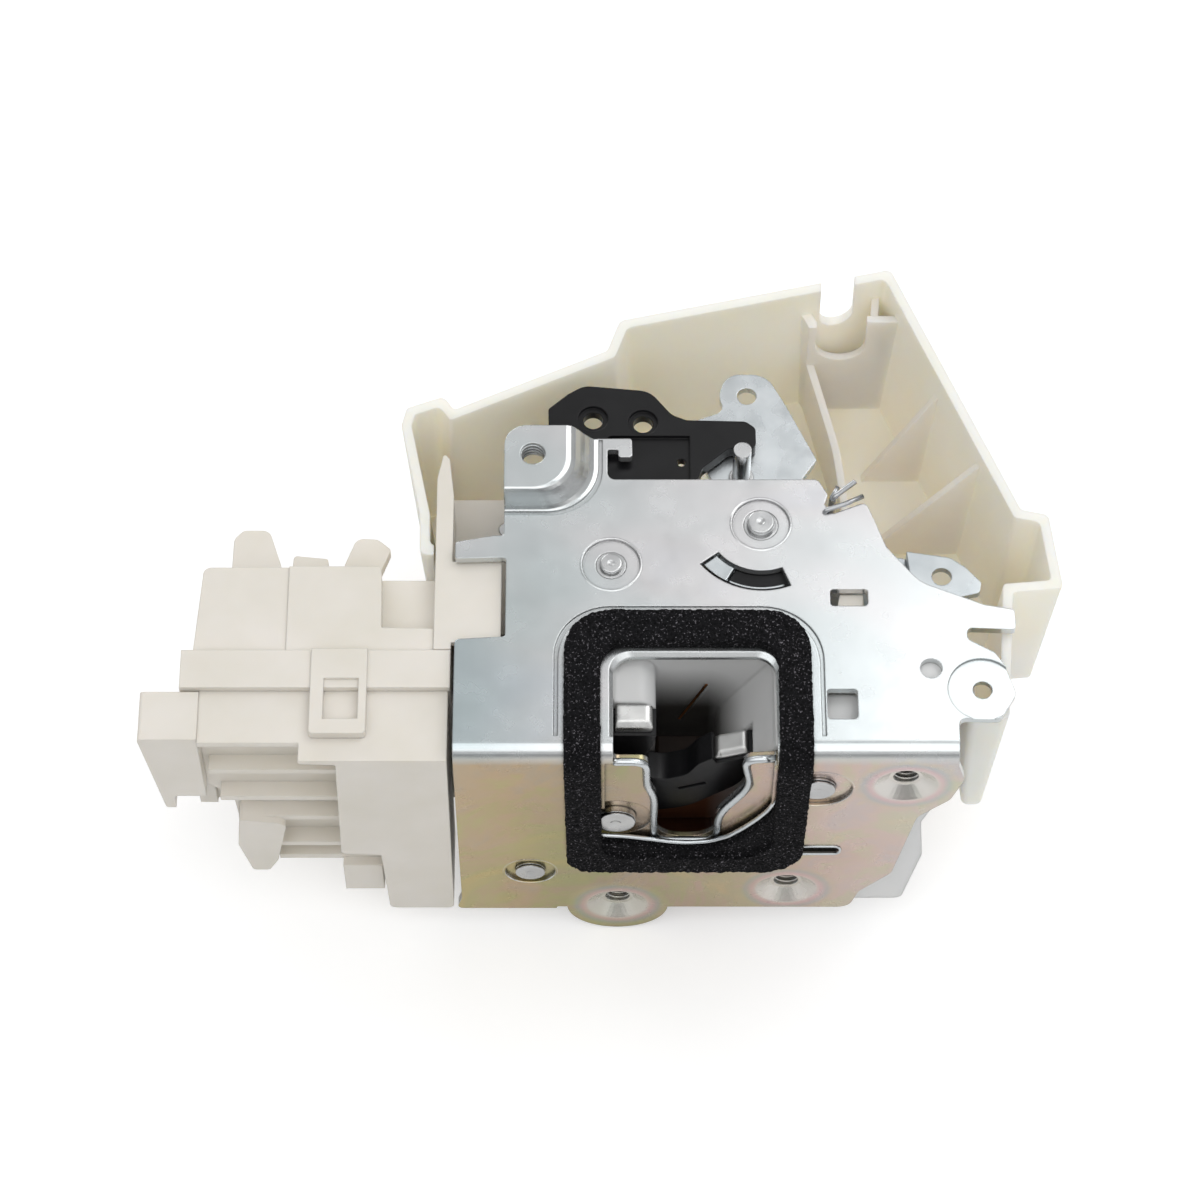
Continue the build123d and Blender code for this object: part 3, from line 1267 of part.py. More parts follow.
def make_worm_wheel():
    """Toothed wheel with a rim, a web, a hub and the crank pin."""
    low, high = MOTOR_Z - WHEEL_T / 2, MOTOR_Z + WHEEL_T / 2
    centre = (WHEEL_X, WHEEL_Y)
    wheel = rod_z(centre, WHEEL_R, low, high)
    for tooth in range(WHEEL_TEETH):
        notch = Box(1.6, 1.3, WHEEL_T + 2)
        angle = 360.0 / WHEEL_TEETH * tooth
        wheel -= Pos(*centre, MOTOR_Z) * Rot(0, 0, angle) * Pos(WHEEL_R, 0, 0) * notch
    recess = disc(centre, 6.0) - disc(centre, AXLE_R + 1.6)
    wheel -= plate_xy(recess, low - 1, low + 1.4)
    crank = crank_place()
    wheel += rod_z(crank, CRANK_PIN_R + GAP, high, LINK_TOP - LINK_T - GAP)
    wheel += rod_z(crank, CRANK_PIN_R, high, LINK_TOP + 0.6)
    return wheel - rod_z(centre, AXLE_R + FIT, low - 1, high + 1)


def make_wheel_axle():
    return rod_z((WHEEL_X, WHEEL_Y), AXLE_R, MOTOR_Z - 10.0, LINK_TOP - LINK_T - GAP)


def make_door_switch():
    """Small switch beside the motor that reports the claw's state."""
    near = CASE_FRONT + 7.4 + WALL
    switch = block(-90.0, -78.0, near, near + 6.4, -40.0, -34.0)
    switch += block(-86.0, -84.6, near + 6.4, near + 7.4, -38.0, -36.0)
    for x in (-89.0, -84.5, -80.0):
        switch += block(x, x + 0.8, near + 1.0, near + 4.0, -34.0, -31.6)
    return switch


def make_lead_frame():
    """Stamped brass strips on the housing's floor, from the socket to the motor."""
    near = CASE_FRONT + 7.4 + WALL
    frame = None
    for z, x1 in ((-11.0, -75.0), (-27.0, -75.0), (-30.6, -78.0)):
        strip = block(CASE_LEFT + 4.2, x1, near, near + 0.6, z - 0.9, z + 0.9)
        frame = strip if frame is None else frame + strip
    return frame


# Cream protective shell

SHELL_OUTLINE = [
    (-57.4, 77.0, 1.5),
    (-56.4, 81.2, 1.0),
    (-49.0, 84.0, 1.5),
    (-46.8, 80.8, 1.0),
    (-15.6, 95.2, 1.5),
    (-13.0, 102.6, 2.0),
    (29.4, 112.2, 0.6),
    (43.2, 115.4, 1.5),
    (67.2, 57.0, 1.5),
    (72.6, 55.8, 1.5),
    (74.6, 38.9, 1.0),
    (64.6, 38.0, 1.0),
    (62.4, 9.4, 1.5),
    (54.4, 9.0, 1.5),
    (53.2, 26.0, 1.5),
    (48.6, 31.0, 1.5),
    (-43.4, 31.0, 1.0),
    (-43.4, 46.6, 1.0),
    (-53.0, 46.6, 1.5),
    (-53.2, 56.0, 3.0),
]


GUSSET_Y = (88.0, 70.0)
NOTCH_X = 32.2
NOTCH_R = 3.5
NOTCH_LOW = -15.5
SADDLE_Y = 106.4
SADDLE_R = 5.2
SADDLE_LOW = -22.0
RIB_T = 1.6


def tray(margin, floor):
    """Solid inside the shell's outline, shrunk by a margin and drafted down to a floor."""
    draft = (SHELL_RIM - floor) * tan(radians(SHELL_DRAFT))
    top = outline(shrink(SHELL_OUTLINE, margin))
    bottom = outline(shrink(SHELL_OUTLINE, margin + draft))
    return loft([Plane.XY.offset(floor) * bottom, Plane.XY.offset(SHELL_RIM) * top], ruled=True)


def make_protective_shell():
    """Open tray that shields the levers: drafted walls, ribs, gussets, a cable notch."""
    outer = tray(0.0, SHELL_FLOOR)
    shell = outer - tray(SHELL_WALL, SHELL_FLOOR + SHELL_WALL)
    floor = SHELL_FLOOR + SHELL_WALL / 2

    # Curved rib that parts the two bays
    divider = outline([
        (25.4, 110.0),
        (31.4, 84.0, 60.0),
        (35.4, 40.0),
        (37.0, 40.0),
        (33.0, 84.4, 60.0),
        (27.0, 110.0),
    ])
    shell += plate_xy(divider, floor, -24.0) & outer

    # Gussets that stiffen the long wall
    for y in GUSSET_Y:
        side = make_face(Polyline((38.0, floor), (70.0, floor), (70.0, SHELL_RIM - 1.0),
                                  (54.0 + (GUSSET_Y[0] - y) * 0.4, SHELL_RIM - 1.0), close=True))
        shell += plate_xz(side, y - 0.8, y + 0.8) & outer

    # U-shaped notch in the far wall for the cable, and a saddle inside it between ribs
    near, far = SADDLE_Y - RIB_T / 2, SADDLE_Y + RIB_T / 2
    saddle = block(NOTCH_X - SADDLE_R - 0.6, 60.0, near, far, floor, SHELL_RIM - 9.0)
    saddle += block(NOTCH_X + SADDLE_R + 1.0, 60.0, near, far, floor, SHELL_RIM - 5.0)
    centre = (NOTCH_X + 1.0, SADDLE_LOW + SADDLE_R)
    saddle -= rod_y(centre, SADDLE_R, near - 1, far + 1)
    saddle -= block(centre[0] - SADDLE_R, centre[0] + SADDLE_R, near - 1, far + 1, centre[1], 0)
    left = outline([(22.4, 114.0), (24.2, 114.0), (28.0, far), (28.0, near), (26.4, near)])
    right = outline([(39.0, near), (40.6, near), (41.6, 117.0), (40.0, 117.0)])
    saddle += plate_xy(left, floor, SHELL_RIM - 7.0) + plate_xy(right, floor, SHELL_RIM - 6.0)
    shell += saddle & outer
    centre = (NOTCH_X, NOTCH_LOW + NOTCH_R)
    shell -= rod_y(centre, NOTCH_R, far + 1.0, 125.0)
    shell -= block(NOTCH_X - NOTCH_R, NOTCH_X + NOTCH_R, far + 1.0, 125.0, centre[1], 0)

    # Room for the lever base, and posts that it is screwed to
    edge = 0.4
    shell -= block(BASE_LEFT - edge, 46.0 + edge, BODY_BACK - 5, 51.0, BASE_TOP - 7.0 - edge, 0)
    for xy in SHELL_POSTS:
        shell += rod_z(xy, SCREW_R + 2.2, floor, BASE_TOP - BASE_T)
        shell -= rod_z(xy, SCREW_R + FIT, SHELL_FLOOR - 1, BASE_TOP)
    return shell


def make_shell_screws():
    screws = None
    for x, y in SHELL_POSTS:
        screw = rod_z((x, y), SCREW_R, SHELL_FLOOR, BASE_TOP)
        screw += rod_z((x, y), SCREW_R * 1.9, SHELL_FLOOR - 1.6, SHELL_FLOOR)
        screw -= block(x - 0.4, x + 0.4, y - 2.2, y + 2.2, SHELL_FLOOR - 2, SHELL_FLOOR - 0.8)
        screw -= block(x - 2.2, x + 2.2, y - 0.4, y + 0.4, SHELL_FLOOR - 2, SHELL_FLOOR - 0.8)
        screws = screw if screws is None else screws + screw
    return screws


def make_all():
    return {
        "latch_plate": make_latch_plate(),
        "foam_seal": make_foam_seal(),
        "claw": make_claw(),
        "claw_cover": make_claw_cover(),
        "pawl": make_pawl(),
        "pawl_cover": make_pawl_cover(),
        "claw_pin": make_claw_pin(),
        "pawl_pin": make_pawl_pin(),
        "body_rivet": make_body_rivet(),
        "claw_spring": make_spring_y(CLAW_PIVOT, CLAW_SPRING_R, CLAW_SPRING_WIRE, CLAW_SPRING_FAR, 3),
        "pawl_spring": make_spring_y(PAWL_PIVOT, PAWL_SPRING_R, PAWL_SPRING_WIRE, PAWL_SPRING_FAR, 3),
        "latch_body": make_latch_body(),
        "striker_bumper": make_bumper(),
        "back_plate": make_back_plate(),
        "lever_pin_left": make_pin_left(),
        "lever_pin_right": make_pin_right(),
        "lever_spacer": make_lever_spacer(),
        "lever_spring": make_lever_spring(),
        "inside_lever": make_inside_lever(),
        "release_lever": make_release_lever(),
        "release_stud": make_release_stud(),
        "lock_lever": make_lock_lever(),
        "lock_link": make_lock_link(),
        "outside_lever": make_outside_lever(),
        "side_lever_pin": make_side_pin(),
        "lever_base": make_lever_base(),
        "actuator_case": make_actuator_case(),
        "actuator_cover": make_actuator_cover(),
        "case_screws": make_case_screws(),
        "connector_shroud": make_connector_shroud(),
        "connector_pins": make_connector_pins(),
        "motor_can": make_motor_can(),
        "motor_cap": make_motor_cap(),
        "motor_magnets": make_motor_magnets(),
        "motor_rotor": make_motor_rotor(),
        "worm": make_worm(),
        "worm_wheel": make_worm_wheel(),
        "wheel_axle": make_wheel_axle(),
        "door_switch": make_door_switch(),
        "lead_frame": make_lead_frame(),
        "protective_shell": make_protective_shell(),
        "shell_screws": make_shell_screws(),
    }


os.makedirs("parts", exist_ok=True)
for name, solid in make_all().items():
    solid.label = name
    export_step(solid, f"parts/{name}.step")
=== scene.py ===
"""Looks for a vehicle door latch actuator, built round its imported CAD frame."""

import json
import math

import bmesh
import bpy
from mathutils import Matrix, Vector


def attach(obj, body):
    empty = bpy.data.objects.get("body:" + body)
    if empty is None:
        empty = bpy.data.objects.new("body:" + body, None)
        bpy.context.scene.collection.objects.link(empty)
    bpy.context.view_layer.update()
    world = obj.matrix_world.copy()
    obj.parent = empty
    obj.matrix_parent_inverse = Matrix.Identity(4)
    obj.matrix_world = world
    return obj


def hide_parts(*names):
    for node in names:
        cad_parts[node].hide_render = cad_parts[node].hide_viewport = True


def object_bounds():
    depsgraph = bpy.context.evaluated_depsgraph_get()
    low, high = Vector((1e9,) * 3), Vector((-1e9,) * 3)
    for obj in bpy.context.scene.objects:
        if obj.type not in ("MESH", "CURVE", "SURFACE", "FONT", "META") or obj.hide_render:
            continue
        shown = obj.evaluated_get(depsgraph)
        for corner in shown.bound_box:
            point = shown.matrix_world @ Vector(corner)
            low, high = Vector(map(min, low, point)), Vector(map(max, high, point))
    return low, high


MM = 0.001
ROOT = "latch_frame"

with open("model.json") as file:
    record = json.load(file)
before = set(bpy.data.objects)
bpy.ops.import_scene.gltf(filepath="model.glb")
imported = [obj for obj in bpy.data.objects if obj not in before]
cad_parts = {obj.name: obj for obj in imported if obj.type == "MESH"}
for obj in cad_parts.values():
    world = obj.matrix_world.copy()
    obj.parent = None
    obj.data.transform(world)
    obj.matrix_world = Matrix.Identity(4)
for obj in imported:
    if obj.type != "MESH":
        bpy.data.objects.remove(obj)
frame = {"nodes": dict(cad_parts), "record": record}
nodes = frame["nodes"]
cad_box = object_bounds()
scene = bpy.context.scene


# Camera, as the photograph was taken: 60 degrees down on the bench

CAMERA_PLACE = (-0.017115, -0.349186, 0.664423)
CAMERA_LOOK = (0.0, 0.5, -0.8660254)


def aim(obj, place, look):
    """Links a camera or lamp at a place in metres, facing along a direction."""
    obj.location = place
    obj.rotation_mode = "QUATERNION"
    obj.rotation_quaternion = Vector(look).to_track_quat("-Z", "Y")
    scene.collection.objects.link(obj)


camera_data = bpy.data.cameras.new("camera")
camera_data.sensor_width = 36.0
camera_data.lens = 117.0
camera_data.clip_start = 0.01
camera_data.clip_end = 10.0
camera = bpy.data.objects.new("camera", camera_data)
aim(camera, CAMERA_PLACE, CAMERA_LOOK)
scene.camera = camera


# Material helpers

def set_stops(ramp, stops):
    """Fills a colour ramp with stops of a position and a linear colour."""
    while len(ramp.elements) < len(stops):
        ramp.elements.new(0.5)
    for element, (position, colour) in zip(ramp.elements, stops):
        element.position = position
        element.color = (*colour, 1.0)


class Surface:
    """A procedural material, with short calls for its nodes."""

    def __init__(self, name, roughness, metallic=0.0, edge=0.0, painted_shade_reach=0.0):
        self.painted_shade_reach = painted_shade_reach
        self.mat = bpy.data.materials.new(name)
        self.mat.use_nodes = True
        self.tree = self.mat.node_tree
        self.shader = self.tree.nodes["Principled BSDF"]
        self.shader.inputs["Roughness"].default_value = roughness
        self.shader.inputs["Metallic"].default_value = metallic
        self.place = self.add("ShaderNodeTexCoord").outputs["Object"]
        if edge:
            corner = self.add("ShaderNodeBevel", samples=5)
            corner.inputs["Radius"].default_value = edge * MM
            self.put(self.shader.inputs["Normal"], corner.outputs["Normal"])

    def add(self, kind, **settings):
        node = self.tree.nodes.new(kind)
        for key, value in settings.items():
            setattr(node, key, value)
        return node

    def put(self, socket, value):
        if isinstance(value, bpy.types.NodeSocket):
            self.tree.links.new(value, socket)
        elif value is not None:
            socket.default_value = value

    def scaled(self, x, y, z):
        """Object coordinates stretched along an axis, for brushed or drawn marks."""
        node = self.add("ShaderNodeMapping")
        self.put(node.inputs["Vector"], self.place)
        node.inputs["Scale"].default_value = (x, y, z)
        return node.outputs["Vector"]

    def noise(self, scale, detail=2.0, roughness=0.5, vector=None, distortion=0.0):
        node = self.add("ShaderNodeTexNoise")
        self.put(node.inputs["Vector"], vector or self.place)
        node.inputs["Scale"].default_value = scale
        node.inputs["Detail"].default_value = detail
        node.inputs["Roughness"].default_value = roughness
        node.inputs["Distortion"].default_value = distortion
        return node.outputs["Fac"]

    def cells(self, scale):
        node = self.add("ShaderNodeTexVoronoi", feature="F1")
        self.put(node.inputs["Vector"], self.place)
        node.inputs["Scale"].default_value = scale
        return node.outputs["Distance"]

    def axis(self, which):
        node = self.add("ShaderNodeSeparateXYZ")
        self.put(node.inputs[0], self.place)
        return node.outputs[which]

    def math(self, operation, a, b=None):
        node = self.add("ShaderNodeMath", operation=operation)
        self.put(node.inputs[0], a)
        self.put(node.inputs[1], b)
        return node.outputs[0]

    def span(self, value, low, high, to_low=0.0, to_high=1.0):
        """A value's range moved to another range, clamped."""
        node = self.add("ShaderNodeMapRange")
        self.put(node.inputs["Value"], value)
        for key, number in (("From Min", low), ("From Max", high),
                            ("To Min", to_low), ("To Max", to_high)):
            node.inputs[key].default_value = number
        return node.outputs["Result"]

    def ramp(self, value, stops):
        node = self.add("ShaderNodeValToRGB")
        self.put(node.inputs["Fac"], value)
        set_stops(node.color_ramp, stops)
        return node.outputs["Color"]

    def mix(self, share, a, b, blend="MIX"):
        node = self.add("ShaderNodeMix", data_type="RGBA", blend_type=blend)
        self.put(node.inputs[0], share)
        self.put(node.inputs[6], a if isinstance(a, bpy.types.NodeSocket) else (*a, 1.0))
        self.put(node.inputs[7], b if isinstance(b, bpy.types.NodeSocket) else (*b, 1.0))
        return node.outputs[2]

    def colour(self, socket):
        """Sets the base colour, with painted shade darkening it in narrow corners where a reach is
        given.
        """
        if self.painted_shade_reach:
            # Painted shade: ambient occlusion darkens the base colour in narrow corners and
            # hollows.
            corner = self.add("ShaderNodeAmbientOcclusion", samples=6)
            corner.inputs["Distance"].default_value = self.painted_shade_reach * MM
            shade = self.span(corner.outputs["AO"], 0.4, 0.85, 0.3, 1.0)
            socket = self.mix(1.0, socket, shade, "MULTIPLY")
        self.put(self.shader.inputs["Base Color"], socket)

    def rough(self, socket):
        self.put(self.shader.inputs["Roughness"], socket)

    def bump(self, height, distance, strength):
        """Adds a bump, on top of any that is there."""
        node = self.add("ShaderNodeBump")
        self.put(node.inputs["Height"], height)
        node.inputs["Distance"].default_value = distance
        node.inputs["Strength"].default_value = strength
        links = self.shader.inputs["Normal"].links
        if links:
            self.put(node.inputs["Normal"], links[0].from_socket)
        self.put(self.shader.inputs["Normal"], node.outputs["Normal"])


def rgb(r, g, b):
    """An sRGB colour, 0 to 255, as linear numbers."""
    def linear(value):
        value /= 255.0
        return value / 12.92 if value <= 0.04045 else ((value + 0.055) / 1.055) ** 2.4
    return (linear(r), linear(g), linear(b))


def moulded(name, light, dark, roughness, translucency=0.0, reach=0.0012):
    """Moulded plastic: faint flow clouds, a fine grain and slightly uneven gloss."""
    s = Surface(name, roughness, edge=0.4)
    clouds = s.noise(60.0, 3.0, 0.55)
    s.colour(s.ramp(clouds, [(0.3, dark), (0.7, light)]))
    s.rough(s.span(s.noise(220.0, 2.0), 0.3, 0.7, roughness - 0.05, roughness + 0.07))
    s.bump(s.noise(2600.0, 2.0), 0.00002, 0.35)
    s.bump(s.noise(150.0, 1.0), 0.00008, 0.25)
    if translucency:
        s.shader.inputs["Subsurface Weight"].default_value = translucency
        s.shader.inputs["Subsurface Radius"].default_value = (1.0, 0.85, 0.65)
        s.shader.inputs["Subsurface Scale"].default_value = reach
    return s


def metal(name, light, dark, roughness, grain=(1.0, 1.0, 1.0), edge=0.3):
    """Worked metal: clouded plating, uneven gloss and fine drawn or brushed marks."""
    # Painted shade in narrow corners, within 0.7 mm, from the surface's ambient occlusion.
    s = Surface(name, roughness, 1.0, edge=edge, painted_shade_reach=0.7)
    clouds = s.noise(90.0, 3.0, 0.6, distortion=0.4)
    s.colour(s.ramp(clouds, [(0.3, dark), (0.72, light)]))
    marks = s.noise(700.0, 4.0, 0.6, vector=s.scaled(*grain))
    s.rough(s.span(s.noise(160.0, 3.0), 0.3, 0.7, roughness - 0.07, roughness + 0.1))
    s.bump(marks, 0.000015, 0.5)
    return s


# Bright zinc plate with a yellow to pink passivation on the end face

# Middles in mm of the dimples and of the small groove, and the heights in metres
# between which the silver gives way to the end face's tint
DIMPLES = [(-13.5, 0.0, -66.5), (42.7, 0.0, -12.9), (21.1, 0.0, -59.0)]
GROOVE_X = 26.6
GROOVE_Z = -41.0
GROOVE_HALF_LENGTH = 4.6
GROOVE_HALF_WIDTH = 1.7
BEND = (-0.0012, -0.0044)


def make_plate_material():
    # Painted shade in narrow corners, within 1 mm, from the surface's ambient occlusion.
    s = Surface("zinc_plate", 0.25, 0.92, edge=0.35, painted_shade_reach=1.0)
    clouds = s.noise(16.0, 2.0, 0.5, distortion=0.6)
    silver = s.ramp(clouds, [
        (0.25, rgb(204, 212, 214)),
        (0.42, rgb(214, 219, 220)),
        (0.52, rgb(222, 221, 222)),
        (0.62, rgb(216, 218, 224)),
        (0.78, rgb(206, 214, 216)),
    ])

    # A bluish tint towards the lower left of the inboard face, drawn darker than the silver as a
    # painted reflection
    left = s.span(s.axis(0), -0.016, -0.042)
    low = s.span(s.axis(1), 0.048, 0.034)
    left = s.math("MULTIPLY", left, low)
    silver = s.mix(s.math("MULTIPLY", left, 0.6), silver, rgb(172, 190, 190))

    # Tint of the end face: bands from left to right, a broken film, and rings at the dimples
    across = s.math("ADD", s.axis(0), s.math("MULTIPLY", s.noise(30.0, 3.0, 0.6), 0.05))
    chromate = s.ramp(s.span(across, -0.03, 0.08), [
        (0.0, rgb(206, 190, 146)),
        (0.2, rgb(196, 176, 128)),
        (0.4, rgb(168, 162, 120)),
        (0.58, rgb(206, 184, 160)),
        (0.78, rgb(230, 212, 200)),
        (1.0, rgb(226, 222, 216)),
    ])
    film = s.ramp(s.noise(34.0, 5.0, 0.7, distortion=1.8), [
        (0.3, rgb(206, 188, 130)),
        (0.42, rgb(176, 182, 134)),
        (0.52, rgb(200, 168, 160)),
        (0.62, rgb(178, 166, 176)),
        (0.74, rgb(214, 190, 132)),
    ])
    tinted = s.mix(0.38, chromate, film)
    for centre in DIMPLES:
        away = s.add("ShaderNodeVectorMath", operation="DISTANCE")
        s.put(away.inputs[0], s.place)
        away.inputs[1].default_value = [v * MM for v in centre]
        ring = s.ramp(s.span(away.outputs["Value"], 0.002, 0.015), [
            (0.0, rgb(226, 226, 222)),
            (0.3, rgb(232, 230, 222)),
            (0.4, rgb(226, 190, 196)),
            (0.5, rgb(160, 186, 192)),
            (0.6, rgb(210, 204, 150)),
            (0.8, rgb(206, 184, 166)),
        ])
        near = s.span(away.outputs["Value"], 0.011, 0.0058)
        tinted = s.mix(s.math("MULTIPLY", near, 0.7), tinted, ring)
    on_end = s.span(s.axis(2), *BEND)
    both = s.mix(on_end, silver, tinted)

    # Bare steel on the cut edges, which face neither way
    facing = s.add("ShaderNodeSeparateXYZ")
    s.put(facing.inputs[0], s.add("ShaderNodeTexCoord").outputs["Normal"])
    across_y = s.math("ABSOLUTE", facing.outputs[1])
    across_z = s.math("ABSOLUTE", facing.outputs[2])
    flat = s.math("MAXIMUM", across_y, across_z)
    worn = s.mix(s.span(flat, 0.62, 0.9), rgb(226, 228, 228), both)

    # Painted shade in the bed of the small groove in the end face
    along_groove = s.math("ABSOLUTE", s.math("SUBTRACT", s.axis(0), GROOVE_X * MM))
    across_groove = s.math("ABSOLUTE", s.math("SUBTRACT", s.axis(2), GROOVE_Z * MM))
    groove = s.math("MULTIPLY", s.span(along_groove, 0.0043, 0.0039),
                    s.span(across_groove, 0.0016, 0.0012))
    s.colour(s.mix(s.math("MULTIPLY", groove, on_end), worn, rgb(58, 56, 50)))
    s.rough(s.span(s.noise(120.0, 3.0, 0.6), 0.3, 0.7, 0.2, 0.3))
    s.bump(s.noise(24.0, 1.0, 0.5), 0.0004, 0.22)
    s.bump(s.noise(900.0, 3.0, 0.6), 0.00001, 0.2)
    scratches = s.noise(420.0, 3.0, 0.7, vector=s.scaled(1.0, 0.12, 1.0))
    s.bump(s.span(scratches, 0.5, 0.85), 0.00001, 0.05)
    return s.mat


def make_foam_material():
    s = Surface("open_cell_foam", 0.85)
    s.shader.inputs["Specular IOR Level"].default_value = 0.12
    specks = s.span(s.noise(2300.0, 2.0, 0.6), 0.6, 0.74)
    cells = s.ramp(s.cells(1300.0), [(0.1, rgb(4, 4, 5)), (0.6, rgb(20, 20, 22))])
    s.colour(s.mix(specks, cells, rgb(120, 117, 122)))
    s.bump(s.cells(1500.0), 0.0005, 0.9)
    return s.mat


FUNNEL_X = -0.0005


def make_body_material():
    """Undyed moulding of the latch body: cooler than the housing, with painted shade down the
    funnel.
    """
    s = Surface("natural_acetal", 0.34, edge=1.3)
    clouds = s.noise(50.0, 3.0, 0.6)
    clean = s.ramp(clouds, [(0.3, rgb(222, 223, 223)), (0.7, rgb(229, 229, 228))])
    # Painted shade: near black deep in the funnel and as a thin film along its sides, turning
    # rust-brown at its bottom.
    shade_and_rust = s.ramp(s.noise(90.0, 4.0, 0.6), [(0.3, rgb(36, 34, 32)), (0.7, rgb(62, 59, 56))])
    rust = s.span(s.axis(2), -0.037, -0.041)
    shade_and_rust = s.mix(rust, shade_and_rust, rgb(118, 74, 50))
    deep = s.span(s.axis(2), -0.003, -0.023)
    off_centre = s.math("ABSOLUTE", s.math("SUBTRACT", s.axis(0), FUNNEL_X))
    in_funnel = s.span(off_centre, 0.016, 0.005)
    film = s.math("MULTIPLY", s.span(off_centre, 0.021, 0.018), 0.22)
    share = s.math("MAXIMUM", film, s.math("MULTIPLY", deep, in_funnel))
    s.colour(s.mix(share, clean, shade_and_rust))
    s.bump(s.noise(150.0, 1.0), 0.00008, 0.25)
    s.shader.inputs["Subsurface Weight"].default_value = 0.15
    s.shader.inputs["Subsurface Radius"].default_value = (1.0, 0.95, 0.9)
    s.shader.inputs["Subsurface Scale"].default_value = 0.001
    return s


white = moulded("white_acetal", rgb(227, 222, 214), rgb(220, 215, 204), 0.36, 0.2)
cream = moulded("cream_polypropylene", rgb(255, 246, 234), rgb(254, 243, 226), 0.42, 0.9, 0.005)
black = moulded("black_plastic", rgb(20, 20, 22), rgb(13, 13, 15), 0.34)
black.shader.inputs["Specular IOR Level"].default_value = 0.3
bumper = moulded("brown_rubber", rgb(56, 42, 34), rgb(36, 30, 26), 0.4)
copper = metal("copper_strip", rgb(222, 156, 96), rgb(190, 124, 74), 0.38)
rubber = moulded("black_rubber", rgb(34, 34, 35), rgb(26, 26, 27), 0.62)
ferrite = moulded("dark_ferrite", rgb(64, 64, 66), rgb(48, 48, 50), 0.55)
lever = metal("lever_zinc", rgb(220, 224, 226), rgb(200, 206, 209), 0.26, (1.0, 0.2, 1.0))
turned = metal("turned_steel", rgb(220, 221, 221), rgb(196, 197, 198), 0.22, (0.3, 0.3, 1.0))
bare = metal("bare_steel", rgb(216, 216, 214), rgb(188, 188, 188), 0.28, (1.0, 0.2, 1.0))
claw_steel = metal("claw_steel", rgb(236, 236, 234), rgb(208, 208, 207), 0.27, (1.0, 0.2, 1.0),
                   edge=0.8)
# Painted shade: a darker copy of the lever zinc for the outside lever, which stands in brighter
# light.
shaded_side_zinc = metal("shaded_side_lever_zinc", rgb(196, 201, 203), rgb(176, 182, 185), 0.3, (0.2, 1.0, 1.0))
wire = metal("spring_wire", rgb(196, 198, 200), rgb(172, 174, 177), 0.28)
brass = metal("brass", rgb(224, 196, 128), rgb(206, 176, 106), 0.3)
body_look = make_body_material()

MATERIALS = {
    "zinc_plated_steel": make_plate_material(),
    "black_foam": make_foam_material(),
    "bare_steel": bare.mat,
    "turned_steel": turned.mat,
    "spring_steel": wire.mat,
    "lever_steel": lever.mat,
    "contact_brass": brass.mat,
    "black_plastic": black.mat,
    "black_rubber": rubber.mat,
    "white_plastic": white.mat,
    "cream_plastic": cream.mat,
    "ferrite": ferrite.mat,
}


def dress(obj, surface):
    """Gives a piece a look of its own in place of its slot's."""
    obj.data.materials[0] = surface.mat


slots = {part["node"]: part["material_slot"] for part in frame["record"]["subparts"]}
for name, obj in nodes.items():
    obj.data.materials.clear()
    obj.data.materials.append(MATERIALS[slots[name]])
    for polygon in obj.data.polygons:
        polygon.use_smooth = False
dress(nodes["latch_body"], body_look)
dress(nodes["striker_bumper"], bumper)
dress(nodes["claw"], claw_steel)
# The outside lever takes the darker copy of the lever zinc, as painted shade.
dress(nodes["outside_lever"], shaded_side_zinc)


# Pieces

def new_piece(name, bm, body, slot, smooth=True):
    """A piece of the scene from a bmesh, riding on a body with a slot's material."""
    mesh = bpy.data.meshes.new(name)
    bm.to_mesh(mesh)
    bm.free()
    obj = bpy.data.objects.new(name, mesh)
    scene.collection.objects.link(obj)
    mesh.materials.append(MATERIALS[slot])
    for polygon in mesh.polygons:
        polygon.use_smooth = smooth
    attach(obj, body)
    return obj


def ring_bridge(bm, rings):
    """Faces between neighbouring rings of as many points; a ring of one point is a tip."""
    for a, b in zip(rings, rings[1:]):
        count = max(len(a), len(b))
        for k in range(count):
            m = (k + 1) % count
            if len(a) == 1:
                bm.faces.new((a[0], b[m], b[k]))
            elif len(b) == 1:
                bm.faces.new((a[k], a[m], b[0]))
            else:
                bm.faces.new((a[k], a[m], b[m], b[k]))


def circle(bm, centre, side, other, radius, steps):
    """A ring of points round a centre in mm, in the plane of two directions."""
    ring = []
    for k in range(steps):
        angle = 2 * math.pi * k / steps
        out = side * math.cos(angle) + other * math.sin(angle)
        ring.append(bm.verts.new((centre + out * radius) * MM))
    return ring


def prism(bm, corners, y_low, y_high):
    """A closed block between two depths in mm from its (x, z) corners."""
    rings = [[bm.verts.new((x * MM, y * MM, z * MM)) for x, z in corners]
             for y in (y_low, y_high)]
    ring_bridge(bm, rings)
    bm.faces.new(rings[0])
    bm.faces.new(rings[1][::-1])


def lathe(name, base, axis, profile, body, slot, steps=64, smooth=False):
    """A turned piece: (radius, height) points in mm, spun round an axis."""
    axis = Vector(axis).normalized()
    side = axis.orthogonal().normalized()
    other = axis.cross(side)
    bm = bmesh.new()
    rings = []
    for radius, height in profile:
        centre = Vector(base) + axis * height
        count = steps if radius else 1
        rings.append(circle(bm, centre, side, other, radius, count))
    ring_bridge(bm, rings)
    bmesh.ops.recalc_face_normals(bm, faces=bm.faces)
    return new_piece(name, bm, body, slot, smooth)


def soften(points, reach, steps=6):
    """A path in mm with each inner corner rounded, starting at most reach before it."""
    points = [Vector(p) for p in points]
    path = [points[0]]
    for before, corner, after in zip(points, points[1:], points[2:]):
        near = min(reach, (before - corner).length / 2, (after - corner).length / 2)
        start = corner + (before - corner).normalized() * near
        end = corner + (after - corner).normalized() * near
        for k in range(steps + 1):
            t = k / steps
            path.append(start * (1 - t) ** 2 + corner * 2 * t * (1 - t) + end * t * t)
    path.append(points[-1])
    return path


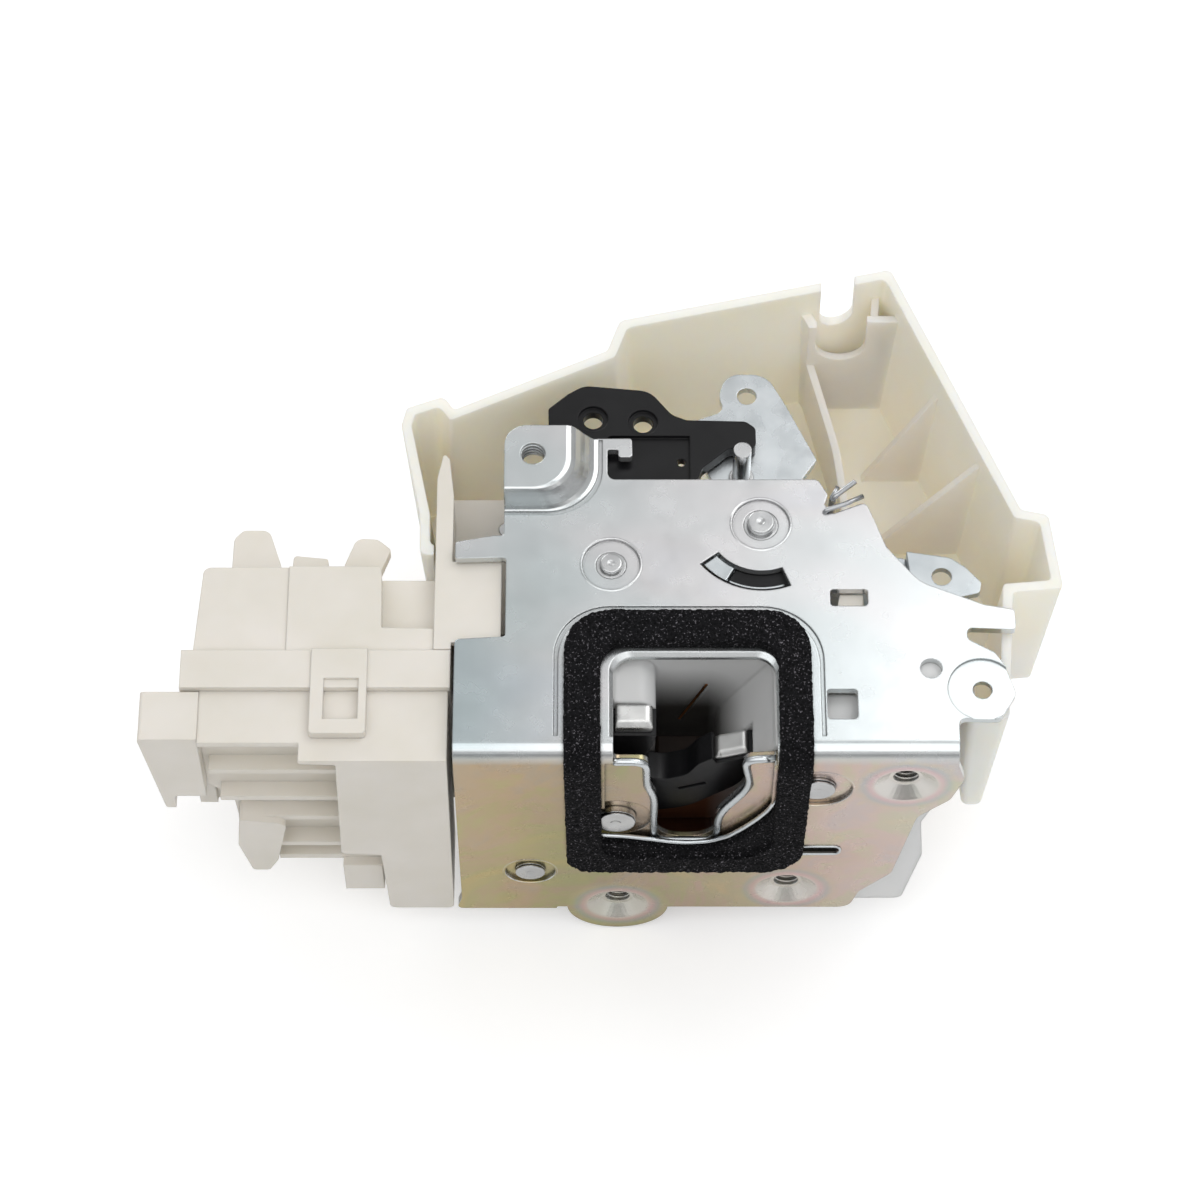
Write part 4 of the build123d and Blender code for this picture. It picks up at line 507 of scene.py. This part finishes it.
def tube(name, path, radius, body, slot, sides=12):
    """A round bar along a path in mm, rounded at its first end."""
    bm = bmesh.new()
    rings = []
    side = None
    for i, point in enumerate(path):
        ahead = (path[min(i + 1, len(path) - 1)] - path[max(i - 1, 0)]).normalized()
        side = ahead.orthogonal() if side is None else side - ahead * side.dot(ahead)
        side.normalize()
        other = ahead.cross(side)
        end = [(0.4, -0.8), (0.8, -0.5)] if i == 0 else []
        for share, shift in end + [(1.0, 0.0)]:
            centre = point + ahead * shift * radius
            rings.append(circle(bm, centre, side, other, radius * share, sides))
    ring_bridge(bm, rings)
    bm.faces.new(rings[0][::-1])
    bm.faces.new(rings[-1])
    bmesh.ops.recalc_face_normals(bm, faces=bm.faces)
    return new_piece(name, bm, body, slot)


def slab(name, corners, low, high, body, slot, soft=0.25):
    """A flat piece between two heights in mm, with rounded edges."""
    bm = bmesh.new()
    face = bm.faces.new([bm.verts.new((x * MM, y * MM, low * MM)) for x, y in corners])
    lifted = bmesh.ops.extrude_face_region(bm, geom=[face])
    top = [v for v in lifted["geom"] if isinstance(v, bmesh.types.BMVert)]
    bmesh.ops.translate(bm, verts=top, vec=(0.0, 0.0, (high - low) * MM))
    bmesh.ops.recalc_face_normals(bm, faces=bm.faces)
    sharp = [e for e in bm.edges if e.calc_face_angle(0.0) > 0.5]
    bmesh.ops.bevel(bm, geom=sharp, offset=soft * MM, segments=3, affect="EDGES", profile=0.5)
    return new_piece(name, bm, body, slot, smooth=False)


def arc(centre, radius, start, finish, z=None, steps=24):
    """Points in mm on an arc about a place on the inboard plate, in degrees."""
    points = []
    for k in range(steps + 1):
        angle = math.radians(start + (finish - start) * k / steps)
        x = centre[0] + radius * math.cos(angle)
        y = centre[1] + radius * math.sin(angle)
        points.append((x, y) if z is None else Vector((x, y, z)))
    return points


THREAD_RADIUS = 2.5
THREAD_PITCH = 1.0
THREAD_DEPTH = 0.34
THREAD_ROOT = 0.05
THREAD_STEPS = 40
THREADS = [
    ("thread_low", (-13.5, 2.6, -66.5), (0, 1, 0), 2.9),
    ("thread_high", (42.7, 2.6, -12.9), (0, 1, 0), 2.9),
    ("thread_mid", (21.1, 2.6, -59.0), (0, 1, 0), 2.9),
    ("thread_bracket", (-30.5, 65.0, 1.5), (0, 0, 1), 3.6),
]


def thread(name, base, axis, length):
    """Helical ridge of an M6 thread in mm, standing in from the hole's wall."""
    axis = Vector(axis).normalized()
    side = axis.orthogonal().normalized()
    other = axis.cross(side)
    count = length / THREAD_PITCH * THREAD_STEPS
    half = axis * (THREAD_PITCH * 0.38)
    bm = bmesh.new()
    rings = []
    for i in range(int(count) + 1):
        angle = 2 * math.pi * i / THREAD_STEPS
        out = side * math.cos(angle) + other * math.sin(angle)
        centre = Vector(base) + axis * (length * i / count)
        root = centre + out * (THREAD_RADIUS + THREAD_ROOT)
        fade = min(1.0, i / 8, (count - i) / 8)
        crest = centre + out * (THREAD_RADIUS - THREAD_DEPTH * fade)
        rings.append([bm.verts.new(point * MM) for point in (root - half, crest, root + half)])
    ring_bridge(bm, rings)
    bm.faces.new(rings[0][::-1])
    bm.faces.new(rings[-1])
    bmesh.ops.recalc_face_normals(bm, faces=bm.faces)
    new_piece(name, bm, ROOT, "zinc_plated_steel")


for name, base, axis, length in THREADS:
    thread(name, base, axis, length)


# Peened heads of the pins and rivets, and the fine ridges coined round them

PIN_LEFT = (-14.9, 42.6)
PIN_RIGHT = (14.9, 51.9)
HEADS = [
    ("head_left", (*PIN_LEFT, -0.5), (0, 0, 1), 2.2, 1.1),
    ("head_right", (*PIN_RIGHT, -0.5), (0, 0, 1), 2.7, 1.6),
    ("head_rivet", (-31.3, 0.25, -50.8), (0, -1, 0), 3.0, 0.7),
    ("head_pawl_pin", (25.4, 0.25, -14.4), (0, -1, 0), 3.5, 0.7),
    ("head_claw_pin", (-14.0, 0.75, -29.5), (0, -1, 0), 3.9, 0.6),
]
for name, base, axis, r, rise in HEADS:
    lathe(name, base, axis, [
        (r * 0.86, 0.0),
        (r * 0.86, rise * 0.3),
        (r, rise * 0.42),
        (r, rise * 0.78),
        (r - 0.1, rise * 0.93),
        (r - 0.3, rise),
        (r * 0.3, rise),
        (r * 0.2, rise - 0.12),
        (0, rise - 0.16),
    ], ROOT, "turned_steel")

RIDGES = [
    ("ridge_left", (*PIN_LEFT, 0.0), (0, 0, 1), 5.95),
    ("ridge_right", (*PIN_RIGHT, 0.0), (0, 0, 1), 5.95),
    ("ridge_rivet", (-31.3, 0.0, -50.8), (0, -1, 0), 5.3),
    ("ridge_pawl_pin", (25.4, 0.0, -14.4), (0, -1, 0), 7.1),
]
for name, base, axis, r in RIDGES:
    lathe(name, base, axis, [
        (r - 0.22, -0.1),
        (r - 0.16, 0.1),
        (r, 0.2),
        (r + 0.2, 0.1),
        (r + 0.35, -0.05),
    ], ROOT, "zinc_plated_steel", 96, True)


# Rolled edge along the lips of the striker slot

LIP_PATH = [
    (-14.2, 1.7, -6.1),
    (-8.1, 1.7, -6.1),
    (-7.9, 1.7, -15.8),
    (-6.4, 1.7, -21.0),
    (-6.4, 1.7, -39.8),
    (6.4, 1.7, -39.8),
    (6.4, 1.7, -28.4),
    (12.5, 1.7, -16.2),
    (10.9, 1.7, -5.2),
    (16.9, 1.7, -4.7),
]
dress(tube("rolled_edge", soften(LIP_PATH, 4.4, 8), 0.8, ROOT, "zinc_plated_steel"), lever)


# Rim of the small groove in the end face

GROOVE_PATH = [(GROOVE_X + a * GROOVE_HALF_LENGTH, -0.05, GROOVE_Z + b * GROOVE_HALF_WIDTH)
               for a, b in ((-1, 1), (1, 1), (1, -1), (-1, -1), (-1, 1))]
dress(tube("groove_ridge", soften(GROOVE_PATH, 1.6), 0.3, ROOT, "zinc_plated_steel", 8), lever)


# Bright lower edge of the dish, where the foam meets it

SILL = [(-17.6, -35.3), (-12.0, -36.0), (-6.4, -37.4), (-2.6, -38.5), (1.0, -38.8), (4.8, -38.2),
        (8.6, -36.0), (11.8, -32.0), (14.2, -28.4), (16.2, -24.6), (17.9, -19.0)]
SILL_PATH = soften([(x, 0.35, z + 0.45) for x, z in SILL], 1.2, 3)
dress(tube("dish_edge", SILL_PATH, 0.5, ROOT, "zinc_plated_steel"), lever)


# Black cover on the lock lever, with its steel rib, seen through the arc slot

slab("lock_lever_cover",
     arc(PIN_RIGHT, 16.0, -118.6, -62.0) + arc(PIN_RIGHT, 9.9, -62.0, -118.6),
     -2.36, -2.0, "lock_arm", "black_plastic", 0.08)
tube("lock_lever_rib", arc(PIN_RIGHT, 13.6, -118.0, -71.0, -2.16), 0.28,
     "lock_arm", "lever_steel", 8)


# White moulded lids on the latch body, one seen through each window

slab("channel_lid", [
    (21.9, 16.0),
    (26.4, 24.0),
    (34.9, 26.0),
    (34.9, 37.0),
    (30.2, 37.0),
    (28.9, 30.0),
    (21.9, 26.5),
], -3.4, -2.3, ROOT, "white_plastic")
dress(slab("near_lid", [(21.9, 4.9), (34.2, 4.9), (34.2, 15.6), (21.9, 15.6)], -5.2, -4.0,
           ROOT, "white_plastic"), body_look)


# Copper strip in the back of the striker funnel

STRIP_CENTRE = Vector((1.4, -20.9))
STRIP_SLOPE = math.radians(70)


def make_strip():
    """A thin bar that leans across the funnel, drawn from its half length and half width."""
    along = Vector((math.cos(STRIP_SLOPE), math.sin(STRIP_SLOPE)))
    across = Vector((-along.y, along.x))
    bm = bmesh.new()
    prism(bm, [STRIP_CENTRE + along * a * 7.7 + across * b * 0.3
               for a, b in ((-1, -1), (1, -1), (1, 1), (-1, 1))], 22.94, 23.44)
    bmesh.ops.recalc_face_normals(bm, faces=bm.faces)
    dress(new_piece("funnel_strip", bm, ROOT, "contact_brass", smooth=False), copper)


make_strip()


# Second leg of the return spring, hooked over the plate's edge

LEG = [(27.4, 54.4, -1.0), (27.9, 54.7, 0.75), (31.6, 56.0, 0.8), (35.4, 57.7, 1.1)]
HOOK = [(29.0, 57.6, -3.0), (29.2, 57.6, 0.5), (30.4, 59.8, 1.2)]
for name, path in (("spring_leg", LEG), ("spring_hook", HOOK)):
    tube(name, soften(path, 0.8), 0.5, ROOT, "spring_steel")


# Foam seal: the solid's mesh made dense, softened and broken into open cells

def displace(obj, name, kind, scale, strength, mid):
    """Moves the surface by a texture of a scale in metres and a strength in mm."""
    texture = bpy.data.textures.new(name, kind)
    texture.noise_scale = scale
    modifier = obj.modifiers.new(name, "DISPLACE")
    modifier.texture = texture
    modifier.texture_coords = "LOCAL"
    modifier.strength = strength * MM
    modifier.mid_level = mid
    return texture


def make_foam():
    """The seal, with the fill between the dish's edge and the straight end of its window."""
    bm = bmesh.new()
    bm.from_mesh(nodes["foam_seal"].data)
    outer = SILL + [(18.6, -19.0), (18.6, -41.0), (-17.6, -41.0)]
    prism(bm, outer, -1.6, 0.9)
    mesh = bpy.data.meshes.new("foam_ring")
    bm.to_mesh(mesh)
    bm.free()
    obj = bpy.data.objects.new("foam_ring", mesh)
    scene.collection.objects.link(obj)
    remesh = obj.modifiers.new("dense", "REMESH")
    remesh.mode = "VOXEL"
    remesh.voxel_size = 0.34 * MM
    smooth = obj.modifiers.new("soft", "SMOOTH")
    smooth.factor = 0.6
    smooth.iterations = 2
    pores = displace(obj, "pores", "VORONOI", 0.0009, 0.5, 1.0)
    pores.noise_intensity = 1.0
    displace(obj, "lumps", "CLOUDS", 0.004, 0.12, 0.5)
    bpy.context.view_layer.update()
    graph = bpy.context.evaluated_depsgraph_get()
    final = bpy.data.meshes.new_from_object(obj.evaluated_get(graph))
    obj.modifiers.clear()
    obj.data = final
    final.materials.clear()
    final.materials.append(MATERIALS["black_foam"])
    for polygon in final.polygons:
        polygon.use_smooth = True
    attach(obj, ROOT)
    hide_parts("foam_seal")


make_foam()


# Floor, world and lamps

lowest = cad_box[0].z

floor_surface = Surface("floor", 0.7)
floor_surface.colour(floor_surface.ramp(
    floor_surface.noise(3.0), [(0.3, (0.85, 0.85, 0.85)), (0.7, (0.87, 0.87, 0.87))]))
floor_path = floor_surface.add("ShaderNodeLightPath")
floor_surface.shader.inputs["Emission Color"].default_value = (1.0, 1.0, 1.0, 1.0)
floor_surface.put(floor_surface.shader.inputs["Emission Strength"],
                  floor_surface.span(floor_path.outputs["Is Camera Ray"], 0.0, 1.0, 0.0, 0.3))
bm = bmesh.new()
bmesh.ops.create_grid(bm, x_segments=1, y_segments=1, size=3.0)
floor_mesh = bpy.data.meshes.new("floor")
bm.to_mesh(floor_mesh)
bm.free()
floor = bpy.data.objects.new("floor", floor_mesh)
floor.location = (0.0, 0.0, lowest - 0.0002)
floor_mesh.materials.append(floor_surface.mat)
scene.collection.objects.link(floor)


def make_world():
    """A soft tent: brighter overhead than at the horizon, and white behind the part."""
    world = bpy.data.worlds.new("studio")
    scene.world = world
    world.use_nodes = True
    tree = world.node_tree
    background = tree.nodes["Background"]
    background.inputs["Strength"].default_value = 1.0
    place = tree.nodes.new("ShaderNodeTexCoord")
    parts = tree.nodes.new("ShaderNodeSeparateXYZ")
    tree.links.new(place.outputs["Generated"], parts.inputs[0])
    tent = tree.nodes.new("ShaderNodeValToRGB")
    tree.links.new(parts.outputs["Z"], tent.inputs["Fac"])
    side = tree.nodes.new("ShaderNodeMapRange")
    tree.links.new(parts.outputs["X"], side.inputs["Value"])
    for key, number in (("From Min", -0.3), ("From Max", 0.3), ("To Min", 0.86), ("To Max", 1.14)):
        side.inputs[key].default_value = number
    lit = tree.nodes.new("ShaderNodeVectorMath")
    lit.operation = "SCALE"
    tree.links.new(tent.outputs["Color"], lit.inputs[0])
    tree.links.new(side.outputs["Result"], lit.inputs["Scale"])
    stops = [(0.0, 0.26), (0.16, 0.3), (0.45, 0.56), (0.8, 0.63), (1.0, 0.66)]
    set_stops(tent.color_ramp, [
        (position, (level, level * 1.003, level * 1.006)) for position, level in stops])
    paths = tree.nodes.new("ShaderNodeLightPath")
    seen = tree.nodes.new("ShaderNodeMath")
    seen.operation = "MAXIMUM"
    tree.links.new(paths.outputs["Is Camera Ray"], seen.inputs[0])
    tree.links.new(paths.outputs["Is Transmission Ray"], seen.inputs[1])
    colours = tree.nodes.new("ShaderNodeMix")
    colours.data_type = "RGBA"
    tree.links.new(seen.outputs[0], colours.inputs[0])
    tree.links.new(lit.outputs["Vector"], colours.inputs[6])
    colours.inputs[7].default_value = (1.0, 1.0, 1.0, 1.0)
    tree.links.new(colours.outputs[2], background.inputs["Color"])


make_world()


# Each lamp's name, place, target, size in metres and watts
LAMPS = [
    ("key", (0.42, 0.42, 0.85), (0, 0.02, -0.03), 0.6, 2.1),
    ("fill", (0.6, -0.6, 0.6), (0, 0.02, -0.03), 0.8, 1.0),
    ("left", (-0.7, -0.3, 0.7), (0, 0.05, -0.03), 0.5, 0.7),
    ("front", (-0.1, -0.45, 0.9), (0, 0.05, -0.03), 0.9, 2.6),
    ("back", (-0.4, 0.9, 0.3), (0, 0.05, -0.03), 0.5, 2.0),
]
for name, place, target, size, watts in LAMPS:
    lamp = bpy.data.lights.new(name, "AREA")
    lamp.energy = watts
    lamp.size = size
    aim(bpy.data.objects.new(name, lamp), place, Vector(target) - Vector(place))

scene.view_settings.view_transform = "Standard"
